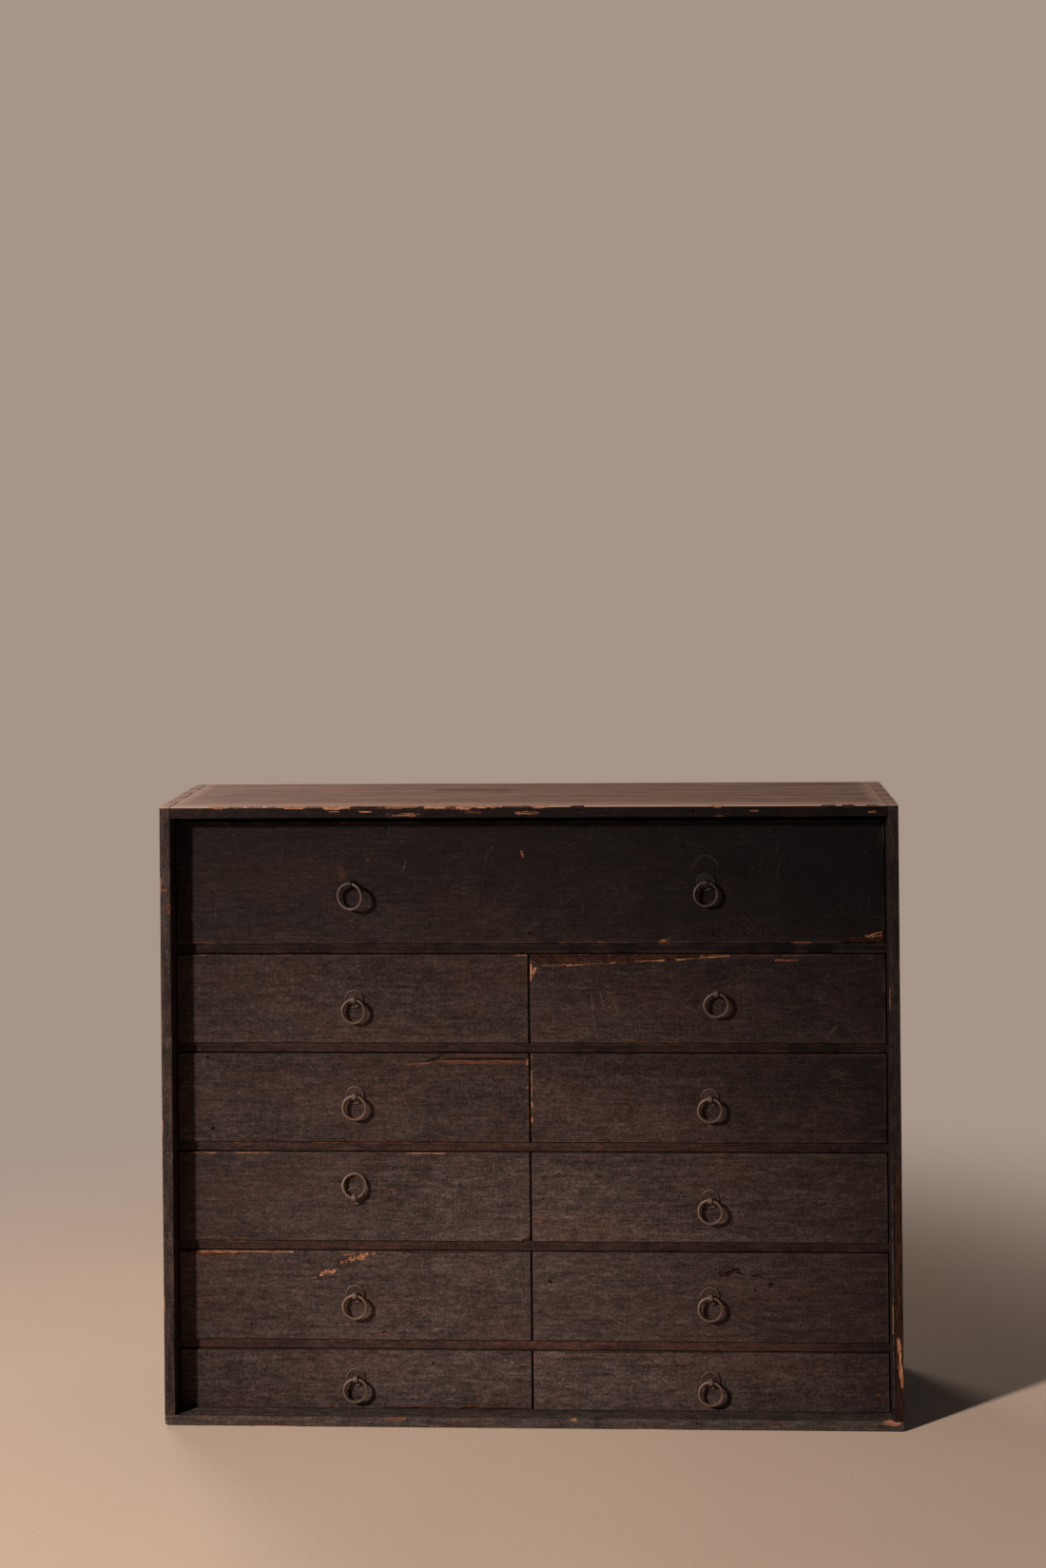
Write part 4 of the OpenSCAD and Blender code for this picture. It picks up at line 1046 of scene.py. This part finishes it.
def ring_piece(name, origin, iron, seed):
    """A hand-forged ring: uneven round iron, thinner where it hangs in the eye."""
    cad = np.array([v.co for v in frame["nodes"][name].data.vertices], float) / MM
    centre = (cad.min(0) + cad.max(0)) / 2
    # The ring's own plane: from the eye to its middle, and across
    down = centre - origin
    major = np.linalg.norm(down)
    down /= major
    spread = np.linalg.svd(cad - cad.mean(0), full_matrices=False)[2]
    normal = spread[2] if spread[2][1] < 0 else -spread[2]
    down -= normal * (down @ normal)
    down /= np.linalg.norm(down)
    yaw = math.radians(YAWS.get(name, 0.0))
    across = np.cross(normal, down) * math.cos(yaw) + normal * math.sin(yaw)
    normal = np.cross(down, across)
    centre = origin + down * major
    count, around = 144, 18
    phase = np.random.default_rng(seed).uniform(0, 2 * math.pi, 6)
    rows, edge = [], []
    for i in range(count):
        t = 2 * math.pi * i / count
        out = -down * math.cos(t) + across * math.sin(t)
        bend = 0.16 * math.sin(2 * t + phase[0]) + 0.09 * math.sin(3 * t + phase[1])
        sag = smooth(np.array([1 - abs((t + math.pi) % (2 * math.pi) - math.pi) / 0.5]), 0, 1)[0]
        bend *= 1 - sag
        thick = WIRE * (0.90 + 0.035 * math.sin(5 * t + phase[2]) + 0.02 * math.sin(11 * t + phase[3]) - 0.06 * sag)
        row = []
        for k in range(around):
            a = 2 * math.pi * k / around
            flat = 1 - 0.05 * math.cos(2 * a + phase[4]) - 0.035 * math.sin(3 * a + 4 * t + phase[5])
            r = min(thick * flat, WIRE)
            row.append(centre + out * (major + bend + r * math.cos(a)) + normal * r * math.sin(a))
            edge.append(max(0.0, math.cos(a - 0.9)) ** 4)
        rows.append(row)
    points = np.array(rows).reshape(-1, 3)
    rough = layered(points, (1.6, 1.6, 1.6), seed, 2) - 0.5
    middle = np.repeat(np.array([np.mean(r, axis=0) for r in rows]), around, axis=0)
    points = middle + (points - middle) * (1 + 0.09 * rough[:, None])
    mesh = mesh_from(f"{name}_iron", points * MM, swept(count, around, True))
    set_values(mesh, "edge", edge)
    # The ring's tone takes part of the painted shade and light of the fronts.
    set_values(mesh, "tone", PULL_TONES.get(name, 0.76) * np.sqrt(painted_shade_at(points)))
    set_values(mesh, "rust", np.full(len(points), RUST.get(name, 0.3)))
    mesh.calc_loop_triangles()
    a, b, c = points[np.array([t.vertices for t in mesh.loop_triangles])].transpose(1, 0, 2)
    if np.einsum("ij,ij->i", a, np.cross(b, c)).sum() < 0:
        mesh.flip_normals()
    place_piece(f"{name}_iron", mesh, [iron], name, name, sharp=60.0)


STRAP_T, HOLE = 1.3, 2.3  # the strap of a pin, and half the width of its eye
CORNERS = 16  # points round a strap


def strap_path(stand, face_y, back_y):
    """The bent strap, from one clinched tip round the eye to the other: y, z, width and share of its thickness."""
    clinch = back_y + STRAP_T / 2
    leg = STRAP_T / 2 + 0.03
    upper = [(clinch, 11.6, 0.7, 0.55), (clinch, 9.0, 3.6, 0.9), (clinch, 4.6, 4.6, 1.0), (clinch, 2.0, 4.7, 1.0),
             (back_y - 0.2, 0.75, 4.7, 1.0), (back_y - 2.0, leg, 4.7, 1.0), (face_y + 2.0, leg, 4.7, 1.0),
             (face_y - 1.2, leg, 4.7, 1.0)]
    neck, radius, turns = math.radians(128), HOLE + STRAP_T / 2, 28
    loop = []
    for i in range(turns + 1):
        t = neck - 2 * neck * i / turns
        wide = 4.8 * (0.70 + 0.30 * max(0.0, math.cos(t)) ** 0.8)
        loop.append((face_y - stand - radius * math.cos(t), radius * math.sin(t), wide, 1.0))
    return upper + loop + [(y, -z, wide, share) for y, z, wide, share in upper[::-1]]


def eye_and_plate(name, at, seed, bare, loose):
    """Points and faces of the split pin and, where it isn't lost, of its round plate."""
    face_y, back_y = (corner[Y] for corner in box_of(f"{name}_front"))
    twist = math.radians(-18.0 if loose else 0.0)
    stand = 10.5 if loose else 6.5
    enter_x = at[X] - stand * math.sin(twist)
    path = strap_path(stand, face_y, back_y)
    count = len(path)
    points = []
    for i, (y, z, wide, thick) in enumerate(path):
        before, after = path[max(i - 1, 0)], path[min(i + 1, count - 1)]
        ty, tz = after[0] - before[0], after[1] - before[1]
        length = math.hypot(ty, tz)
        ny, nz = -tz / length, ty / length
        for k in range(CORNERS):
            a = 2 * math.pi * k / CORNERS
            ca, sa = math.cos(a), math.sin(a)
            px = wide / 2 * math.copysign(abs(ca) ** 0.55, ca)
            pn = STRAP_T / 2 * thick * math.copysign(abs(sa) ** 0.75, sa) * 0.97
            points.append((px, y + ny * pn, z + nz * pn))
    points = np.array(points)
    c, s = math.cos(twist), math.sin(twist)
    turned = points.copy()
    turned[:, 0] = c * points[:, 0] - s * (points[:, 1] - face_y)
    turned[:, 1] = s * points[:, 0] + c * (points[:, 1] - face_y) + face_y
    blend = smooth(face_y - points[:, 1], 0.5, 3.5)[:, None]
    points = points * (1 - blend) + turned * blend + (enter_x, 0.0, at[Z])
    points += (layered(points, (1.5, 1.5, 1.5), seed, 2)[:, None] - 0.5) * 0.12
    last = (count - 1) * CORNERS
    caps = [tuple(range(CORNERS))[::-1], tuple(range(last, last + CORNERS))]
    shells = [(points, swept(count, CORNERS, False) + caps, 0.0 if loose else 0.45)]
    if not bare:
        shells.append(plate_shell(enter_x, at[Z], face_y, seed))
    return shells


def plate_shell(x0, z0, face_y, seed):
    """A thin round plate with a raised rim, dented and not quite round, slotted for the pin, with a painted highlight
    on the rim's upper left.
    """
    radius, thick, rim = 9.6, 0.95, 0.5
    # From the slot to the edge in front, and back to the slot behind: share of the way, height
    profile = [(0.0, thick), (0.25, thick * 0.95), (0.55, thick * 0.9), (0.72, thick * 0.85), (0.80, thick * 0.95),
               (0.84, thick + rim * 0.45), (0.88, thick + rim * 0.85), (0.92, thick + rim),
               (0.955, thick + rim * 0.95), (0.985, thick + rim * 0.6), (1.0, thick * 0.9), (0.995, 0.15),
               (0.97, 0.03), (0.6, 0.03), (0.3, 0.03), (0.0, 0.03)]
    count = 84
    phase = np.random.default_rng(seed).uniform(0, 2 * math.pi, 4)
    points, edge = [], []
    for i in range(count):
        t = 2 * math.pi * i / count
        ct, st = math.cos(t), math.sin(t)
        slot = 1 / max(abs(ct) / 2.45, abs(st) / 1.38)
        outer = radius * (0.985 + 0.012 * math.sin(2 * t + phase[0]) + 0.006 * math.sin(5 * t + phase[1]))
        for share, high in profile:
            r = slot + (outer - slot) * share
            dent = 0.10 * math.sin(2 * t + phase[2]) * share ** 2 * (high > 0.1)
            points.append((x0 + r * ct, face_y - high - max(dent, -0.02), z0 + r * st))
            # A painted highlight: the rim is brighter toward the upper left.
            painted_rim_highlight = max(0.0, math.cos(t - math.radians(115))) ** 0.7
            edge.append(painted_rim_highlight if 0.85 < share < 0.97 and high > thick else 0.0)
    points = np.array(points)
    wobble = layered(points, (2.2, 2.2, 2.2), seed + 4, 2) - 0.5
    raised = points[:, 1] < face_y - 0.5
    points[raised, 1] -= 0.12 * wobble[raised]
    return points, swept(count, len(profile), True), np.array(edge) * 0.9


def outward(points, faces):
    """The faces of a closed shell, turned outward."""
    volume = sum(np.dot(points[f[0]], np.cross(points[f[k]], points[f[k + 1]]))
                 for f in faces for k in range(1, len(f) - 1))
    return [f[::-1] for f in faces] if volume < 0 else faces


def pull_hardware(name, iron, number):
    """The pins and plates of a drawer, in one mesh."""
    points, faces, edges, tones = [], [], [], []
    offset = 0
    for hand, ring, at in pulls_of(name):
        bare, loose = ring in ("ring_1_left", "ring_2_right"), ring == "ring_1_left"
        for part, shell, edge in eye_and_plate(name, at, number * 10 + hand + 1, bare, loose):
            faces += [tuple(i + offset for i in f) for f in outward(part, shell)]
            points.append(part)
            edges.append(np.broadcast_to(edge, len(part)))
            tones.append(np.full(len(part), 0.32 if ring in PULL_TONES else 0.9))
            offset += len(part)
    points = np.concatenate(points)
    mesh = bpy.data.meshes.new(f"{name}_pins")
    mesh.from_pydata((points * MM).tolist(), [], faces)
    mesh.validate()
    # On the plates the edge is a painted highlight on the rims' upper left.
    set_values(mesh, "edge", np.concatenate(edges))
    # The tone takes part of the painted shade and light of the fronts.
    set_values(mesh, "tone", np.concatenate(tones) * np.sqrt(painted_shade_at(points)))
    set_values(mesh, "rust", np.full(offset, 0.6 if name == "drawer_3_left" else 0.15))
    place_piece(f"{name}_pins", mesh, [iron], name, f"{name}_eye", sharp=50.0)


# ---------------------------------------------------------------- stage

BACKDROP = (0.39, 0.30, 0.253)


def add_stage():
    """A pale round floor that fades to the colour of the backdrop where the camera sees it far from the chest."""
    pale, under = (0.75, 0.555, 0.41), -0.0004
    radii, sides = (0.35, 0.7, 1.1, 1.6, 2.4, 3.6, 5.5, 9.0, 16.0, 30.0), 96
    turns = [2 * math.pi * i / sides for i in range(sides)]
    points = [(0.0, 0.0, under)] + [(r * math.cos(t), r * math.sin(t), under) for r in radii for t in turns]
    pairs = [(1 + i, 1 + (i + 1) % sides) for i in range(sides)]
    faces = [(0, a, b) for a, b in pairs]
    faces += [(a + j, a + j + sides, b + j + sides, b + j)
              for j in range(0, (len(radii) - 1) * sides, sides) for a, b in pairs]
    mesh = bpy.data.meshes.new("floor")
    mesh.from_pydata(points, [], faces)
    s = Shader(bpy.data.materials.new("floor"))
    place = s.add("TexCoord").outputs["Object"]
    cloud, grain = s.noise(place, detail=4.0, scale=2.2), s.noise(place, detail=2.0, scale=160.0)
    colour = s.mix(s.step(cloud, 0.3, 0.7), dim(pale, 0.97), dim(pale, 1.03))
    near = s.principled(colour, 0.85, grain, 0.0002, specular=0.2)
    far = s.add("Emission", {"Color": (*BACKDROP, 1.0), "Strength": 1.0}).outputs[0]
    distance = s.add("VectorMath", {0: place}, operation="LENGTH").outputs["Value"]
    path = s.add("LightPath").outputs
    seen = s.math("MAXIMUM", path["Is Camera Ray"], path["Is Glossy Ray"])
    fade = s.times(s.step(distance, 0.5, 1.35), seen)
    mesh.materials.append(s.end(s.add("MixShader", {0: fade, 1: near, 2: far}).outputs[0]))
    floor = bpy.data.objects.new("floor", mesh)
    bpy.context.scene.collection.objects.link(floor)


def add_world():
    """A soft even light from all sides, which the camera sees as the backdrop."""
    s = Shader(bpy.data.worlds.new("world"), "OutputWorld")
    light = s.add("Background", {0: (0.93, 0.93, 1.0, 1.0), 1: 0.045}).outputs[0]
    shown = s.add("Background", {0: (*BACKDROP, 1.0), 1: 1.0}).outputs[0]
    seen = s.add("LightPath").outputs["Is Camera Ray"]
    bpy.context.scene.world = s.end(s.add("MixShader", {0: seen, 1: light, 2: shown}).outputs[0])


def add_lamp(name, at, target, size, power, colour):
    data = bpy.data.lights.new(name, "AREA")
    data.shape = "DISK"
    data.size = size
    data.energy = power
    data.color = colour
    lamp = bpy.data.objects.new(name, data)
    lamp.location = at
    lamp.rotation_mode = "QUATERNION"
    lamp.rotation_quaternion = (Vector(target) - Vector(at)).to_track_quat("-Z", "Y")
    bpy.context.scene.collection.objects.link(lamp)


# ---------------------------------------------------------------- all of it

add_camera()
bpy.context.scene.view_settings.view_transform = "Standard"
add_world()
add_lamp("key", (-2.35, -2.6, 1.9), (0.0, -0.08, 0.3), 0.26, 152.0, (1.0, 0.93, 0.90))
add_lamp("fill", (-1.7, 2.5, 1.7), (0.0, 0.1, 0.3), 1.4, 25.0, (1.0, 0.95, 0.92))
add_stage()

# Colours: dark, middle, pale and red for stained wood, and dark and light for bare wood
RED = (0.040, 0.0188, 0.0133)
BOX_WOOD = (0.125, 0.077, 0.046), (0.26, 0.175, 0.110)
TOP = {"z": box_of("case_top")[1][Z], "front": box_of("case_top")[0][Y], "end": box_of("case_top")[1][X],
       "dark": (0.142, 0.076, 0.054), "light": (0.465, 0.275, 0.195), "strip": (0.545, 0.335, 0.238)}
wood = {
    "top": stained_wood("top_wood", X, (0.017, 0.0082, 0.0064), (0.032, 0.0163, 0.0127), (0.064, 0.0370, 0.0297), RED,
                        TOP),
    "bottom": stained_wood("bottom_wood", X, (0.018, 0.012, 0.010), (0.036, 0.025, 0.021), (0.085, 0.064, 0.054), RED),
    "side": stained_wood("side_wood", Z, (0.014, 0.0086, 0.0070), (0.030, 0.0190, 0.0155), (0.072, 0.050, 0.041), RED,
                         TOP),
    "front": stained_wood("front_wood", X, (0.017, 0.0097, 0.0080), (0.032, 0.0193, 0.0161), (0.064, 0.044, 0.0377),
                          RED),
    "rail": stained_wood("rail_wood", X, (0.013, 0.0066, 0.0052), (0.030, 0.0140, 0.0108), (0.070, 0.038, 0.029),
                         (0.055, 0.020, 0.013)),
    "plain": plain_wood("back_wood", X, (0.105, 0.062, 0.036), (0.21, 0.135, 0.082)),
    "plain_deep": plain_wood("box_wood", Y, *BOX_WOOD),
    "across": plain_wood("box_wood_across", X, *BOX_WOOD),
}
ring_iron = rusty_iron("ring_iron", (0.020, 0.0105, 0.0078), (0.056, 0.030, 0.021), (0.140, 0.053, 0.023),
                       (0.30, 0.190, 0.135), 0.62)
eye_iron = rusty_iron("eye_iron", (0.022, 0.0112, 0.008), (0.045, 0.0245, 0.0185), (0.080, 0.033, 0.018),
                      (0.30, 0.210, 0.165), 0.6)
peg_wood = bamboo("bamboo")

case_boards(wood)
back_boards(wood)
rails_and_shelves(wood)
for number, drawer in enumerate(b for b in frame["bodies"] if b.startswith("drawer_")):
    drawer_front(drawer, wood, number)
    drawer_box(drawer, wood, number)
    pull_hardware(drawer, eye_iron, number)
    for hand, ring, at in pulls_of(drawer):
        ring_piece(ring, np.array(at), ring_iron, number * 7 + hand + 2)
for node in (frame["nodes"]["corner_pegs"], frame["nodes"]["back_pegs"]):
    node.data.materials.clear()
    node.data.materials.append(peg_wood)
